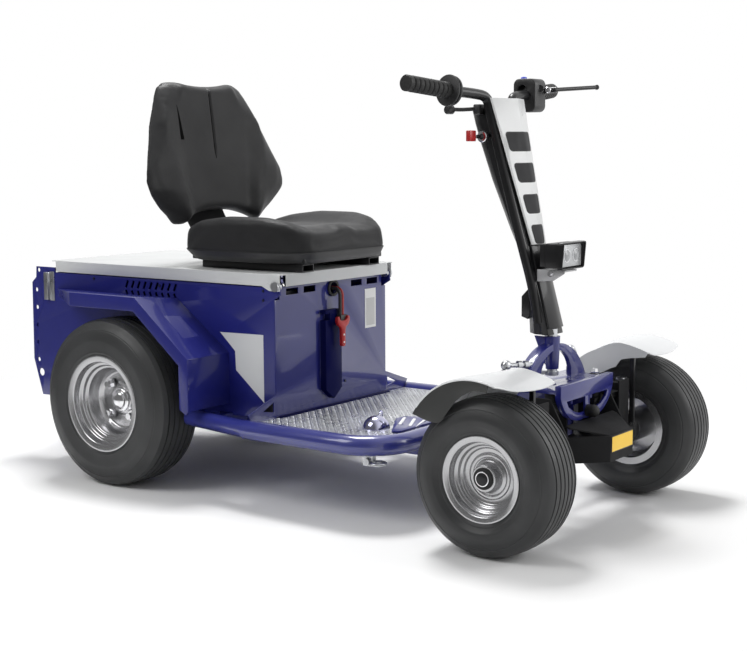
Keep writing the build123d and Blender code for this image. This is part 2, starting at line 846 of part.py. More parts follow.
def seat_cushion():
    """Seat cushion with raised sides, one closed soft solid."""
    x = (seat_front_x - seat_depth, seat_front_x)
    slab = rounded_slab(x, seat_half_w, (pan_top_z + seat_fit, cushion_top_z), 62)
    slab = fillet(slab.edges().group_by(Axis.Z)[-1], 26)
    slab = chamfer(slab.edges().group_by(Axis.Z)[0], 16)
    dish_r = (seat_dish_half**2 + dish_depth**2) / (2 * dish_depth)
    dish = Rot(0, 90, 0) * Cylinder(dish_r, seat_depth - 95)
    return slab - Pos(seat_front_x - seat_depth / 2 - 48, 0, cushion_top_z - dish_depth + dish_r) * dish


def back_outline():
    """Outline of the backrest across the vehicle, from its foot: shoulders, wings and arched foot."""
    half = [(102, back_h), (153, back_h - 20), (252, 150), (252, 112), (156, 4), (112, 0), (60, 34)]
    return half + [(-y, z) for y, z in reversed(half)]


def backrest():
    """Winged backrest as a closed soft solid."""
    face = Plane.YZ * make_face(Polyline(*back_outline(), close=True))
    face = fillet(face.vertices(), 14)
    core = Pos(-back_thick, 0, 0) * extrude(face, amount=back_thick + wing_depth, dir=(1, 0, 0))
    plan = [
        (-back_thick, -220),
        (-back_thick, 220),
        (-back_thick + 14, 254),
        (wing_depth, 254),
        (wing_depth, 236),
        (0, 130),
        (0, -130),
        (wing_depth, -236),
        (wing_depth, -254),
        (-back_thick + 14, -254),
    ]
    return back_placed(core & plate_xy(plan, -1, back_h + 1))


# ================================================================ head
def d_face(shrink):
    """D shaped face across the vehicle, drawn inside its outline by shrink."""
    half = face_half_w - shrink
    top = face_top_z - shrink
    low = face_low_z + shrink
    shoulder = face_top_z - 24
    side = (half - 26, face_low_z + 20 + shrink / 2)
    flat = 22 - shrink / 2
    edges = Polyline((-half, shoulder), (-half, top), (half, top), (half, shoulder))
    edges += ThreePointArc((half, shoulder), side, (flat, low))
    edges += Line((flat, low), (-flat, low))
    edges += ThreePointArc((-flat, low), (-side[0], side[1]), (-half, shoulder))
    return Plane.YZ * make_face(edges)


def head_face():
    """Dished D shaped plate at the front of the head, with two windows."""
    plate = Pos(face_x - face_depth, 0, 0) * extrude(d_face(0), amount=face_depth, dir=(1, 0, 0))
    hollow = extrude(d_face(4), amount=face_depth - face_t, dir=(1, 0, 0))
    plate -= Pos(face_x - face_depth, 0, 0) * hollow
    window = [(10, 275), (92, 275), (84, 262), (62, 250), (36, 243), (10, 242)]
    for side in (-1, 1):
        plate -= plate_yz([(side * y, z) for y, z in window], face_x - face_depth - 1, face_x + 1)
    return plate


def head_arch():
    """Arch across the base plate with a flanged outer edge."""
    above = Pos(0, head_base_z + arch_out_r / 2 - 1) * Rectangle(2 * arch_out_r, arch_out_r)
    disc = Pos(0, arch_z) * Circle(arch_out_r) & above
    mouth = Pos(0, arch_mouth_z) * Ellipse(arch_in_r, arch_mouth_h)
    mouth += Pos(0, arch_mouth_z - 50) * Rectangle(2 * arch_in_r, 100)
    web = extrude(Plane.YZ * (disc - mouth), amount=arch_t, dir=(1, 0, 0))
    rim_band = disc - Pos(0, arch_z) * Circle(arch_out_r - 4)
    flange = Pos(arch_t - arch_flange, 0, 0) * extrude(Plane.YZ * rim_band, amount=arch_flange, dir=(1, 0, 0))
    return Pos(steer_x, 0, 0) * (web + flange)


def head_base():
    """Base plate with its two rear ears."""
    half = base_half_w
    outline = [
        (front_x - 96, 60),
        (front_x - 96, ear_y + 12),
        (front_x - 66, ear_y + 12),
        (front_x - 20, half),
        (face_x - 2, half - 2),
    ]
    full = outline + [(x, -y) for x, y in reversed(outline)]
    return plate_xy(full, head_base_z - base_t, head_base_z)


def head_bracket():
    """Head: base plate, arch, head tube, dished front plate and the neck down to the frame tube."""
    head = head_base() + head_arch() + head_face()
    tube_h = head_tube_top_z - head_tube_low_z
    head += Pos(steer_x, 0, head_tube_low_z + tube_h / 2) * Cone(14, head_tube_d / 2, tube_h)
    rib = [
        (steer_x - 42, head_tube_top_z - 2),
        (steer_x, head_tube_top_z - 2),
        (steer_x, head_tube_low_z + 8),
        (steer_x - 16, head_tube_low_z + 8),
    ]
    head += plate_xz(rib, -4, 4)
    head -= pillar(steer_x, 0, (head_tube_low_z - 20, head_tube_top_z + 20), shaft_d + 2 * shaft_fit)
    floor = head_base_z - base_t
    neck = [
        (hoop_front_x - 8, hoop_z - 18),
        (hoop_front_x - 8, hoop_z + 18),
        (hoop_front_x + 40, hoop_z + 34),
        (front_x - 90, floor),
        (face_x - 14, floor),
        (face_x - 14, floor - 30),
        (front_x - 24, floor - 52),
        (front_x - 24, hoop_z - 24),
        (hoop_front_x + 60, hoop_z - 24),
    ]
    for side in (-1, 1):
        head += plate_xz(neck, side * neck_y - 4, side * neck_y + 4)
    return head - hoop(2 * bore_fit)


def link_rods():
    """On each side a ball joint on the base plate's ear and a threaded rod to the arch."""
    x = front_x - 83
    y = -ear_y
    low = head_base_z
    link = pillar(x, y, (low, low + 52), 10)
    link += pillar(x, y, (low, low + 9), 19)
    link += pillar(x, y, (low + 30, low + 38), 19)
    link += Pos(x, y, low + 47) * Sphere(11)
    end = (steer_x + 4, -88, low + 45)
    start = (x + 4, y + 4, low + 47)
    link += rod(start, end, 10)
    for share in (0.35, 0.62):
        a = [p + (q - p) * share for p, q in zip(start, end)]
        b = [p + (q - p) * (share + 0.16) for p, q in zip(start, end)]
        link += rod(tuple(a), tuple(b), 18)
    right = link - head_bracket()
    right = right.solids().sort_by(SortBy.VOLUME)[-1]
    return both_sides(right)


def buffers():
    """Rubber buffers between the head and the axle frame, and the rubber knob on the front plate."""
    x = front_x + 1
    parts = []
    for y in (-mount_y, mount_y):
        low = shelf_top_z
        high = head_base_z - base_t
        middle = (low + high) / 2
        post = pillar(x, y, (low, high), mount_d - 5)
        post += pillar(x, y, (low, middle - 4), mount_d)
        parts.append(post + pillar(x, y, (middle + 4, high), mount_d))
    knob_z = face_low_z + 15
    knob = rod((face_x, 0, knob_z), (face_x + 14, 0, knob_z), 26)
    parts.append(knob + Pos(face_x + 14, 0, knob_z) * Sphere(13.5))
    return Compound(children=[part.solid() for part in parts])


# ================================================================ front axle
def axle_frame():
    """Front axle: lower beam, buffer shelves, end plates and yokes for the king pins."""
    z = front_axle_z
    x = (front_x - beam_half, front_x + beam_half)
    yoke = king_half - 34
    frame = block(x, (-yoke, yoke), (z - beam_half, z + beam_half))
    for side in (-1, 1):
        for y_low, y_high, z_low, z_high in (
            (60, 66, z, shelf_top_z),
            (60, yoke, shelf_top_z - 10, shelf_top_z),
            (yoke - 8, yoke, king_low_z, king_high_z + king_lug_t),
        ):
            frame += block(x, sorted((side * y_low, side * y_high)), (z_low, z_high))
        end_y = sorted((side * (base_half_w + 4), side * (base_half_w + 9)))
        frame += block((x[0], face_x + 22), end_y, (bumper_z[1] + seat_fit, shelf_top_z + 26))
        for low in (king_low_z, king_high_z):
            lug_y = sorted((side * (yoke - 4), side * king_half))
            frame += block((front_x - king_lug_r, front_x + king_lug_r), lug_y, (low, low + king_lug_t))
            frame += pillar(front_x, side * king_half, (low, low + king_lug_t), 2 * king_lug_r)
        span = (king_low_z - 10, king_high_z + 40)
        frame -= pillar(front_x, side * king_half, span, king_d + king_fit)
    return frame


def king_pins():
    """The two king pins with their heads."""
    high = king_high_z + king_lug_t
    pins = []
    for y in (-king_half, king_half):
        pin = pillar(front_x, y, (king_low_z - 3, high), king_d)
        pins.append(pin + pillar(front_x, y, (high, high + 6), 26))
    return Compound(children=[pin.solid() for pin in pins])


def knuckle():
    """Right steering knuckle: boss, stub axle, steering arm and mudguard stay."""
    y = -king_half
    low = king_low_z + king_lug_t + run_gap
    high = king_high_z - run_gap
    body = pillar(front_x, y, (low, high), 2 * knuckle_r)
    body += across(front_x, front_axle_z, -stub_end, y, stub_d)
    body += block((front_x - arm_len, front_x), (y - 9, y + 9), (arm_z, arm_z + 12))
    body += pillar(front_x - arm_len, y, (arm_z, arm_z + 12), 22)
    stay_y = (-guard_inner - guard_sheet - 8, -guard_inner - guard_sheet)
    body += block((front_x + 4, front_x + 34), (stay_y[0], y + 6), (180, 200))
    body += block((front_x + 24, front_x + 34), stay_y, (180, guard_z + guard_r - lip - 3))
    body -= pillar(front_x, y, (low - 5, high + 5), king_d + 4 * king_fit)
    return body - pillar(front_x - arm_len, y, (arm_z - 5, arm_z + 20), tie_pin_d + 4 * king_fit)


def tie_rod():
    """Tie rod behind the axle with a pin at each end."""
    x = front_x - arm_len
    z = arm_z - 14
    bar = across(x, z, -king_half, king_half, tie_d)
    for y in (-king_half, king_half):
        bar += pillar(x, y, (z - 8, z + 8), 22)
        bar += pillar(x, y, (z, arm_z + 22), tie_pin_d)
    return bar


def front_bumper():
    """Wrapped guard plate ahead of the axle, with its sloped cover and two arms."""
    low, high = bumper_z
    path = [(bumper_x - 66, -118), (bumper_x, -52), (bumper_x, 52), (bumper_x - 66, 118)]
    back = [(x - 8, y * 0.95) for x, y in reversed(path)]
    guard = plate_xy(path + back, low, high)
    slope = [(face_x + 5, high + 22), (bumper_x - 2, high + 1), (bumper_x - 2, high - 3), (face_x + 5, high + 18)]
    plan = [(face_x, -106), (bumper_x - 66, -106), (bumper_x - 4, -50)]
    plan += [(x, -y) for x, y in reversed(plan)]
    guard += plate_xz(slope, -110, 110) & plate_xy(plan, low, high + 40)
    for side in (-1, 1):
        y = sorted((side * 30, side * 40))
        guard += block((front_x + beam_half + seat_fit, bumper_x - 4), y, (low + 5, low + 25))
    return guard


# ================================================================ mudguards
def on_guard(radius, angle):
    """A point (x, z) on a circle round the mudguard's centre."""
    return (guard_x + radius * cos(radians(angle)), guard_z + radius * sin(radians(angle)))


def guard_arc(radius, start, end):
    """An arc round the mudguard's centre."""
    points = [on_guard(radius, angle) for angle in (start, (start + end) / 2, end)]
    return ThreePointArc(*points)


def guard_band(r_in, r_out, y_low, y_high, start, end):
    """A curved strip of the mudguard between two radii."""
    edges = guard_arc(r_out, start, end)
    edges += Line(on_guard(r_out, end), on_guard(r_in, end))
    edges += guard_arc(r_in, end, start)
    edges += Line(on_guard(r_in, start), on_guard(r_out, start))
    return Pos(0, y_low, 0) * extrude(Plane.XZ * make_face(edges), amount=y_high - y_low, dir=(0, 1, 0))


def mudguard():
    """Right mudguard: curved top skin with an inner lip."""
    skin = guard_r - guard_sheet
    guard = guard_band(skin, guard_r, -guard_outer, -guard_inner, guard_start, guard_end)
    inner = (-guard_inner - guard_sheet, -guard_inner)
    return guard + guard_band(guard_r - lip, guard_r, *inner, guard_start + 8, guard_end - 22)


def guard_skirt():
    """Dark outer skirt under the right mudguard's edge, deeper towards the rear."""
    top = guard_r - guard_sheet - seat_fit
    middle = (guard_start + guard_end) / 2
    edges = guard_arc(top, guard_start + 4, guard_end)
    edges += Line(on_guard(top, guard_end), on_guard(top - skirt_rear, guard_end))
    edges += ThreePointArc(
        on_guard(top - skirt_rear, guard_end),
        on_guard(top - (skirt_rear + skirt_front) / 2, middle),
        on_guard(top - skirt_front, guard_start + 4),
    )
    edges += Line(on_guard(top - skirt_front, guard_start + 4), on_guard(top, guard_start + 4))
    face = Plane.XZ * make_face(edges)
    return Pos(0, -guard_outer, 0) * extrude(face, amount=guard_sheet, dir=(0, 1, 0))


# ================================================================ steering column
def column_x(table, height):
    """A column line's x at a height."""
    return front_x + line_at(height, table)


def steering_shaft():
    """Shaft in the head tube with the nut and pitman arm at its lower end."""
    low = head_tube_low_z - 14
    shaft = pillar(steer_x, 0, (low, foot_z + 12), shaft_d)
    shaft += pillar(steer_x, 0, (low, low + 9), 28)
    return shaft + block((steer_x - 42, steer_x), (-7, 7), (low, low + 8))


def fork_tube(grow=0.0):
    """Right handlebar tube: from the grip's end inwards, then down the column to its foot."""
    diameter = bar_d + grow
    points = [
        (bar_x, -grip_half, grip_z),
        (bar_x, -grip_half + grip_len + 12, grip_z),
        (column_x(fork_line, bar_corner_z), -line_at(bar_corner_z, fork_y) - 2, bar_corner_z),
        (column_x(fork_line, knee_z), -line_at(knee_z, fork_y), knee_z),
        (column_x(fork_line, foot_z), -line_at(foot_z, fork_y), foot_z + 4),
    ]
    return bent_rod(points, 38, diameter)


def fork_tubes(grow=0.0):
    """Both handlebar tubes."""
    return both_sides(fork_tube(grow))


def column_section(height, inset):
    """The column's cross-section as a level rectangle at a height."""
    rear = column_x(column_rear, height)
    front = column_x(column_front, height) - cover_t - inset
    half = line_at(height, fork_y) - 3
    return Pos((rear + front) / 2, 0, height) * Rectangle(front - rear, 2 * half)


def column_body():
    """Tapered black column from the shaft clamp to the handlebar, with its rear fin."""
    heights = (foot_z, knee_z, cover_low_z, head_z)
    body = loft([Sketch() + column_section(height, seat_fit) for height in heights], ruled=True)
    fin = [
        (column_x(column_rear, knee_z + 19) + 4, knee_z + 19),
        (column_x(column_rear, knee_z - 40) - 20, knee_z - 40),
        (column_x(column_rear, knee_z - 44) + 4, knee_z - 44),
    ]
    body += plate_xz(fin, -14, 14)
    body -= pillar(steer_x, 0, (foot_z - 1, foot_z + 12), shaft_d + bore_fit)
    return body - fork_tubes(bore_fit)


def folded_cover(heights, halves, ridges):
    """A cover folded along its middle, lying on the column's front between two heights."""
    sections = []
    for height, half, rise in zip(heights, halves, ridges):
        x = column_x(column_front, height)
        points = [
            (x, -half),
            (x + rise, 0),
            (x, half),
            (x - cover_t, half),
            (x - cover_t, -half),
        ]
        sections.append(Pos(0, 0, height) * make_face(Polyline(*points, close=True)))
    return loft([Sketch() + section for section in sections], ruled=True)


def column_cover():
    """White folded cover on the column's front."""
    heights = (cover_low_z + seat_fit, cover_top_z)
    halves = [line_at(height, cover_half) for height in heights]
    ridges = [line_at(height, ridge) for height in heights]
    return folded_cover(heights, halves, ridges)


def lower_cover():
    """Black folded cover below the white one."""
    return folded_cover((foot_z + 14, cover_low_z), (31, 28), (6, 5))


def grips():
    """Ribbed grips on both ends of the handlebar."""
    y = (-grip_half - 4, -grip_half + grip_len)
    body = across(bar_x, grip_z, *y, grip_d)
    body -= across(bar_x, grip_z, -grip_half, y[1] + 1, bar_d + bore_fit)
    return both_sides(body)


def guard_disc():
    """Double guard disc inboard of the right grip."""
    inner = -grip_half + grip_len
    disc = across(bar_x, grip_z, inner + 1, inner + 24, 42)
    disc += across(bar_x, grip_z, inner + 4, inner + 10, guard_disc_d)
    disc += across(bar_x, grip_z, inner + 14, inner + 19, guard_disc_d - 8)
    return disc - fork_tubes(bore_fit)


def park_lever():
    """Locking lever from under the guard disc to its catch on the column's head."""
    start = (bar_x + 4, -grip_half + grip_len + 26, grip_z - 33)
    catch_x = column_x(column_rear, head_z)
    end = (catch_x + 8, -line_at(head_z, fork_y) + 1, head_z - 16)
    lever = rod(start, end, 9)
    lever += block((catch_x + 1, catch_x + 26), (end[1] - 16, end[1] + 1.9), (head_z - 30, head_z - 4))
    lever += rod(start, (start[0] - 2, start[1], grip_z - 17), 12)
    return (lever - guard_disc() - fork_tubes(2 * bore_fit)) - column_body()


def control_box():
    """Throttle housing inboard of the left grip."""
    y = (grip_half - grip_len - control_w - 1, grip_half - grip_len - 1)
    box = block((bar_x - 24, bar_x + 32), y, (grip_z - 54, grip_z + 20))
    box = fillet(box.edges().filter_by(Axis.Y), 14)
    return box - fork_tubes(bore_fit)


def brake_lever():
    """Brake lever ahead of the left grip, on its clamp."""
    y = grip_half - grip_len - 10
    lever = rod((bar_x + 24, y, grip_z - 8), (bar_x + 80, y + 10, grip_z - 6), 14)
    lever += rod((bar_x + 76, y + 4, grip_z - 6), (bar_x + 120, grip_half - 5, grip_z + 2), 9)
    lever += Pos(bar_x + 120, grip_half - 5, grip_z + 2) * Sphere(6)
    return lever - control_box()


def key_switch():
    """Key barrel on the right side of the column."""
    x = front_x - 200
    z = head_z - 69
    y = -line_at(z, fork_y)
    barrel = rod((x, y + 3 - seat_fit, z), (x, y - 16, z), 20)
    barrel += rod((x, y - 14, z), (x, y - 20, z), 25)
    return barrel - fork_tubes(2 * bore_fit) - column_body()


def headlamp():
    """Headlamp housing with its visor rim and rear cooling fins."""
    rear, front = lamp_x
    low, high = lamp_z
    half = lamp_half_w
    body = block((rear + 16, front), (-half, half), (low, high))
    body = chamfer(body.edges().filter_by(Axis.X), 5)
    body -= block((front - 8, front + 1), (5 - half, half - 5), (low + 5, high - 5))
    visor = block((front - 4, front + 6), (-half, half), (high - 4, high))
    body += visor
    for index in range(7):
        y = (index - 3) * 14
        body += block((rear, rear + 17), (y - 2, y + 2), (low + 6, high - 6))
    return body


def lamp_bracket():
    """U bracket that carries the headlamp on the column."""
    low, high = lamp_z
    half = lamp_half_w + seat_fit
    middle = (lamp_x[0] + lamp_x[1]) / 2 + 4
    base = low - 12
    root = column_x(column_front, base) + 1
    bracket = block((root - 30, middle + 14), (-half - 4, half + 4), (base - 4, base))
    for side in (-1, 1):
        y = sorted((side * half, side * (half + 4)))
        bracket += block((middle - 14, middle + 14), y, (base - 4, (low + high) / 2 + 6))
        bracket += across(middle, (low + high) / 2 - 6, *sorted((side * half, side * (half + 9))), 14)
    return bracket - column_body() - lower_cover() - fork_tubes(2 * bore_fit)


def grommet():
    """Rubber ring round the cable hole of the front panel."""
    x = body_front_x + seat_fit
    ring = rod((x, 0, grommet_z), (x + 4, 0, grommet_z), grommet_d + 12)
    return ring - rod((x - 1, 0, grommet_z), (x + 5, 0, grommet_z), grommet_d)


# ================================================================ output
def wheels():
    """Tyres and rims in place, as (node, shape) pairs."""
    made = []
    for end, x, z, track, tyre_shape, rim_shape in (
        (
            "front",
            front_x,
            front_axle_z,
            front_track,
            tyre(front_tyre_d, front_tyre_w, front_rim_d, front_bead_d, front_rim_w),
            front_rim(),
        ),
        (
            "rear",
            rear_x,
            rear_axle_z,
            rear_track,
            tyre(rear_tyre_d, rear_tyre_w, rear_rim_d, rear_bead_d, rear_rim_w),
            rear_rim(),
        ),
    ):
        for piece, shape in (("tyre", tyre_shape), ("rim", rim_shape)):
            left = Pos(x, track / 2, z) * shape
            made.append((f"{end}_{piece}_left", left))
            made.append((f"{end}_{piece}_right", mirrored(left)))
    return made


def build():
    """Writes every node."""
    os.makedirs("parts", exist_ok=True)
    for node, shape in wheels():
        save(node, shape)
    for node, maker in (("side_panels", side_panel), ("wheel_arches", wheel_arch), ("latches", latch)):
        save(node, both_sides(maker()))
    for maker in (knuckle, mudguard, guard_skirt):
        right = maker()
        save(f"{maker.__name__}_right", right)
        save(f"{maker.__name__}_left", mirrored(right))
    for maker in (
        deck_frame,
        deck_plate,
        front_panel,
        battery_tray,
        battery_block,
        battery_lead,
        battery_plug,
        grommet,
        pedals,
        tie_ring,
        rear_axle,
        tow_hitch,
        tow_pin,
        lid,
        lid_pivots,
        seat_rails,
        seat_pan,
        seat_cushion,
        backrest,
        head_bracket,
        link_rods,
        buffers,
        axle_frame,
        king_pins,
        tie_rod,
        front_bumper,
        steering_shaft,
        column_body,
        column_cover,
        lower_cover,
        grips,
        guard_disc,
        park_lever,
        control_box,
        brake_lever,
        key_switch,
        headlamp,
        lamp_bracket,
    ):
        save(maker.__name__, maker())
    save("handlebar", fork_tubes())


build()
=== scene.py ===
"""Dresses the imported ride-on baggage tug: paint, tyres, seat, deck, column and small fittings."""

import json
import logging
import math
from collections.abc import Callable, Iterator
from contextlib import contextmanager
from dataclasses import dataclass
from enum import Enum

import bmesh
import bpy
from mathutils import Matrix, Vector
from mathutils.bvhtree import BVHTree

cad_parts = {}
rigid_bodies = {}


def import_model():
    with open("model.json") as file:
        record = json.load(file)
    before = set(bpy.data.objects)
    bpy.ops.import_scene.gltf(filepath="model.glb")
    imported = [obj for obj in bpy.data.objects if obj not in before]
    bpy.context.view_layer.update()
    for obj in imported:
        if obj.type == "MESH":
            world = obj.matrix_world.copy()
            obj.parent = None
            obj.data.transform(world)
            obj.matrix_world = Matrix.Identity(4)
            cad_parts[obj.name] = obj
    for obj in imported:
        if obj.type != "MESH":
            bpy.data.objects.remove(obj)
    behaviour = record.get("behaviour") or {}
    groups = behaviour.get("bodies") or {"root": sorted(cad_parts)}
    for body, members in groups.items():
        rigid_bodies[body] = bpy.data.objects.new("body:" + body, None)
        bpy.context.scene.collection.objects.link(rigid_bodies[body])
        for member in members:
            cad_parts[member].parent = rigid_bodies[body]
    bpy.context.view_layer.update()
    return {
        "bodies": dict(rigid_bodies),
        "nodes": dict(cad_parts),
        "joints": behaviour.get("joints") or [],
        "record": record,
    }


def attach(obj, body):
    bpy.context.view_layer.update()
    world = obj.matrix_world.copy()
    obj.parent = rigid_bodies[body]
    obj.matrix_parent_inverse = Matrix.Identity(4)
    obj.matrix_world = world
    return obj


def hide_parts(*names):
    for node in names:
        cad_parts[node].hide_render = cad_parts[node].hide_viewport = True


LOG = logging.getLogger("tug")
MM = 0.001
FRONT_X = 0.683
REAR_X = -0.368
WELD = 2e-6
SIM_FRAMES = 20
AHEAD = Vector((1.0, 0.0, 0.0))
Point = tuple[float, float, float]
Pair = tuple[float, float]
Setting = tuple[Point, Point, Point]
Move = Callable[[Vector], Vector]
Socket = bpy.types.NodeSocket
Mesh = bpy.types.Mesh
Inputs = dict[str | int, object]


class Side(Enum):
    """The two sides of the tug, by the sign of their y."""

    RIGHT = -1
    LEFT = 1

    @property
    def word(self) -> str:
        """The side's name in node and body names."""
        return self.name.lower()


class HeadForm(Enum):
    """Shapes of a fastener's head, by how many corners it has."""

    HEX = 6
    ROUND = 20
    HEX_BAR = 8


def at(x: float, y: float, z: float) -> Point:
    """A point given in mm, in metres."""
    return (x * MM, y * MM, z * MM)


# ---------------------------------------------------------------- materials
def wired(tree: bpy.types.NodeTree, kind: str, inputs: Inputs, **settings: str) -> bpy.types.Node:
    """Adds a node to a tree.

    Args:
        tree: the node tree.
        kind: the node's type name.
        inputs: values or sockets, by the input's name or number.
        settings: the node's own settings.

    Returns:
        The new node.
    """
    node = tree.nodes.new(kind)
    for name, value in settings.items():
        setattr(node, name, value)
    for key, value in inputs.items():
        if isinstance(value, Socket):
            tree.links.new(value, node.inputs[key])
        else:
            node.inputs[key].default_value = value
    return node


class Graph:
    """A material's node tree while it is being built."""

    def __init__(self, name: str) -> None:
        """Starts an empty material with a Principled shader.

        Args:
            name: the material's name.
        """
        self.material = bpy.data.materials.new(name)
        self.material.use_nodes = True
        self.tree = self.material.node_tree
        self.shader = self.tree.nodes["Principled BSDF"]
        self.place = self.tree.nodes.new("ShaderNodeTexCoord").outputs["Object"]

    def add(self, kind: str, inputs: Inputs, **settings: str) -> bpy.types.Node:
        """Adds a node to the material, as wired() does."""
        return wired(self.tree, kind, inputs, **settings)

    def fixed(self, **values: float) -> None:
        """Sets constants on the shader's sockets, by name with underscores for spaces."""
        for key, value in values.items():
            self.shader.inputs[key.replace("_", " ")].default_value = value

    def noise(self, scale: float, detail: float = 3.0, squeeze: Point = (1, 1, 1)) -> Socket:
        """Noise over the object's own coordinates.

        Args:
            scale: how many features to the metre.
            detail: how many finer layers.
            squeeze: stretch along each axis.

        Returns:
            The noise's value socket.
        """
        where = self.add("ShaderNodeMapping", {"Vector": self.place, "Scale": squeeze}).outputs[0]
        return self.add("ShaderNodeTexNoise", {"Vector": where, "Scale": scale, "Detail": detail}).outputs[0]

    def remap(self, value: Socket, low: float, high: float, to: Pair) -> Socket:
        """Maps a value between two limits onto another span.

        Args:
            value: the socket to map.
            low: its low limit.
            high: its high limit.
            to: the span that it is mapped on.

        Returns:
            The mapped value.
        """
        return self.add("ShaderNodeMapRange", {0: value, 1: low, 2: high, 3: to[0], 4: to[1]}).outputs[0]

    def blend(self, share: Socket, first: object, second: object) -> Socket:
        """Mixes two colours.

        Args:
            share: how much of the second colour shows.
            first: a colour or a socket.
            second: a colour or a socket.

        Returns:
            The mixed colour's socket.
        """
        ends = [end if isinstance(end, Socket) else (*end, 1.0) for end in (first, second)]
        return self.add("ShaderNodeMix", {0: share, 6: ends[0], 7: ends[1]}, data_type="RGBA").outputs[2]

    def feed(self, name: str, socket: Socket) -> None:
        """Links a socket to one of the shader's own."""
        self.tree.links.new(socket, self.shader.inputs[name])

    def rough(self, scale: float, detail: float, span: Pair, squeeze: Point = (1, 1, 1)) -> Socket:
        """Makes the roughness wander between two values.

        Args:
            scale: how many features to the metre.
            detail: how many finer layers.
            span: the lowest and the highest roughness.
            squeeze: stretch along each axis.

        Returns:
            The noise behind it.
        """
        cloud = self.noise(scale, detail, squeeze)
        self.feed("Roughness", self.remap(cloud, 0.3, 0.7, span))
        return cloud

    def bump(self, height: Socket, strength: float, depth: float) -> None:
        """Adds a bump over those that are there.

        Args:
            height: the height socket.
            strength: how strong the bump is, from 0 to 1.
            depth: its depth in metres.
        """
        inputs = {"Height": height, "Strength": strength, "Distance": depth}
        before = self.shader.inputs["Normal"]
        if before.is_linked:
            inputs["Normal"] = before.links[0].from_socket
        self.feed("Normal", self.add("ShaderNodeBump", inputs).outputs[0])


def shade(colour: Point, factor: float) -> Point:
    """A colour made lighter or darker."""
    return tuple(min(1.0, channel * factor) for channel in colour)


@dataclass(frozen=True)
class Finish:
    """A surface finish that is built once and shared."""

    name: str
    colour: Point
    roughness: float = 0.4
    specular: float = 0.5
    metallic: float = 0.0
    mottle: float = 0.12
    mottle_scale: float = 9.0

    def start(self) -> Graph:
        """The part that all finishes share: uneven colour and fixed constants."""
        graph = Graph(self.name)
        graph.fixed(Metallic=self.metallic, Specular_IOR_Level=self.specular)
        share = graph.remap(graph.noise(self.mottle_scale), 0.35, 0.65, (0.0, 1.0))
        ends = [shade(self.colour, factor) for factor in (1 - self.mottle, 1 + self.mottle)]
        graph.feed("Base Color", graph.blend(share, *ends))
        return graph

    def span(self, low: float, high: float) -> Pair:
        """The roughness times two factors, at most 1."""
        return (self.roughness * low, min(1.0, self.roughness * high))

    def dress(self, graph: Graph) -> None:
        """Adds what is special to the finish."""
        graph.fixed(Roughness=self.roughness)

    def material(self) -> bpy.types.Material:
        """The finish's material, made at its first use."""
        found = bpy.data.materials.get(self.name)
        if found is None:
            graph = self.start()
            self.dress(graph)
            found = graph.material
        return found


@dataclass(frozen=True)
class Paint(Finish):
    """Sprayed enamel with a clear gloss and a fine orange peel."""

    coat: float = 0.5
    peel: float = 0.10

    def dress(self, graph: Graph) -> None:
        """Adds gloss, uneven sheen and the orange peel."""
        graph.fixed(Coat_Weight=self.coat, Coat_Roughness=0.06)
        graph.rough(14.0, 4.0, self.span(0.85, 1.2))
        graph.bump(graph.noise(520.0, 2.0), self.peel, 0.0004)


@dataclass(frozen=True)
class Rubber(Finish):
    """Moulded rubber with dust and a fine skin."""

    grain: float = 900.0

    def dress(self, graph: Graph) -> None:
        """Adds uneven dullness and a fine skin."""
        graph.rough(38.0, 6.0, self.span(0.85, 1.2))
        graph.bump(graph.noise(self.grain, 3.0), 0.25, 0.0004)
        graph.bump(graph.noise(60.0, 4.0), 0.10, 0.0012)


@dataclass(frozen=True)
class Vinyl(Finish):
    """Grained upholstery vinyl."""

    def dress(self, graph: Graph) -> None:
        """Adds leather grain and worn sheen."""
        graph.rough(12.0, 5.0, self.span(0.85, 1.15))
        cells = graph.add(
            "ShaderNodeTexVoronoi", {"Vector": graph.place, "Scale": 520.0}, feature="DISTANCE_TO_EDGE"
        )
        graph.bump(graph.remap(cells.outputs[0], 0.0, 0.25, (0.0, 1.0)), 0.22, 0.0004)
        graph.bump(graph.noise(35.0, 3.0), 0.12, 0.0015)
        graph.fixed(Sheen_Weight=0.02, Sheen_Roughness=0.5)


@dataclass(frozen=True)
class Metal(Finish):
    """Bare or plated metal, with brush marks along one axis."""

    metallic: float = 1.0
    brush: Point = (1.0, 1.0, 1.0)
    marks: float = 0.08

    def dress(self, graph: Graph) -> None:
        """Adds brush marks to the roughness and the bump."""
        lines = graph.rough(30.0, 2.0, self.span(1 - 3 * self.marks, 1 + 4 * self.marks), self.brush)
        graph.bump(lines, self.marks, 0.0003)


@dataclass(frozen=True)
class Plastic(Finish):
    """Moulded plastic with a fine spark-eroded texture."""

    texture: float = 0.15

    def dress(self, graph: Graph) -> None:
        """Adds the moulded texture."""
        graph.rough(24.0, 3.0, self.span(0.9, 1.1))
        graph.bump(graph.noise(1400.0, 2.0), self.texture, 0.0003)


@dataclass(frozen=True)
class TwoTone(Rubber):
    """Cable rubber: one colour on each side of the vehicle's middle."""

    other: Point = (0.35, 0.02, 0.02)

    def start(self) -> Graph:
        """Splits the colour where y changes its sign."""
        graph = Graph(self.name)
        graph.fixed(Metallic=0.0, Specular_IOR_Level=self.specular)
        parts = graph.add("ShaderNodeSeparateXYZ", {"Vector": graph.place})
        share = graph.remap(parts.outputs[1], -0.0002, 0.0002, (0.0, 1.0))
        soil = graph.remap(graph.noise(60.0), 0.3, 0.7, (0.0, 1.0))
        first = graph.blend(soil, self.colour, shade(self.colour, 1.3))
        second = graph.blend(soil, self.other, shade(self.other, 0.8))
        graph.feed("Base Color", graph.blend(share, first, second))
        return graph


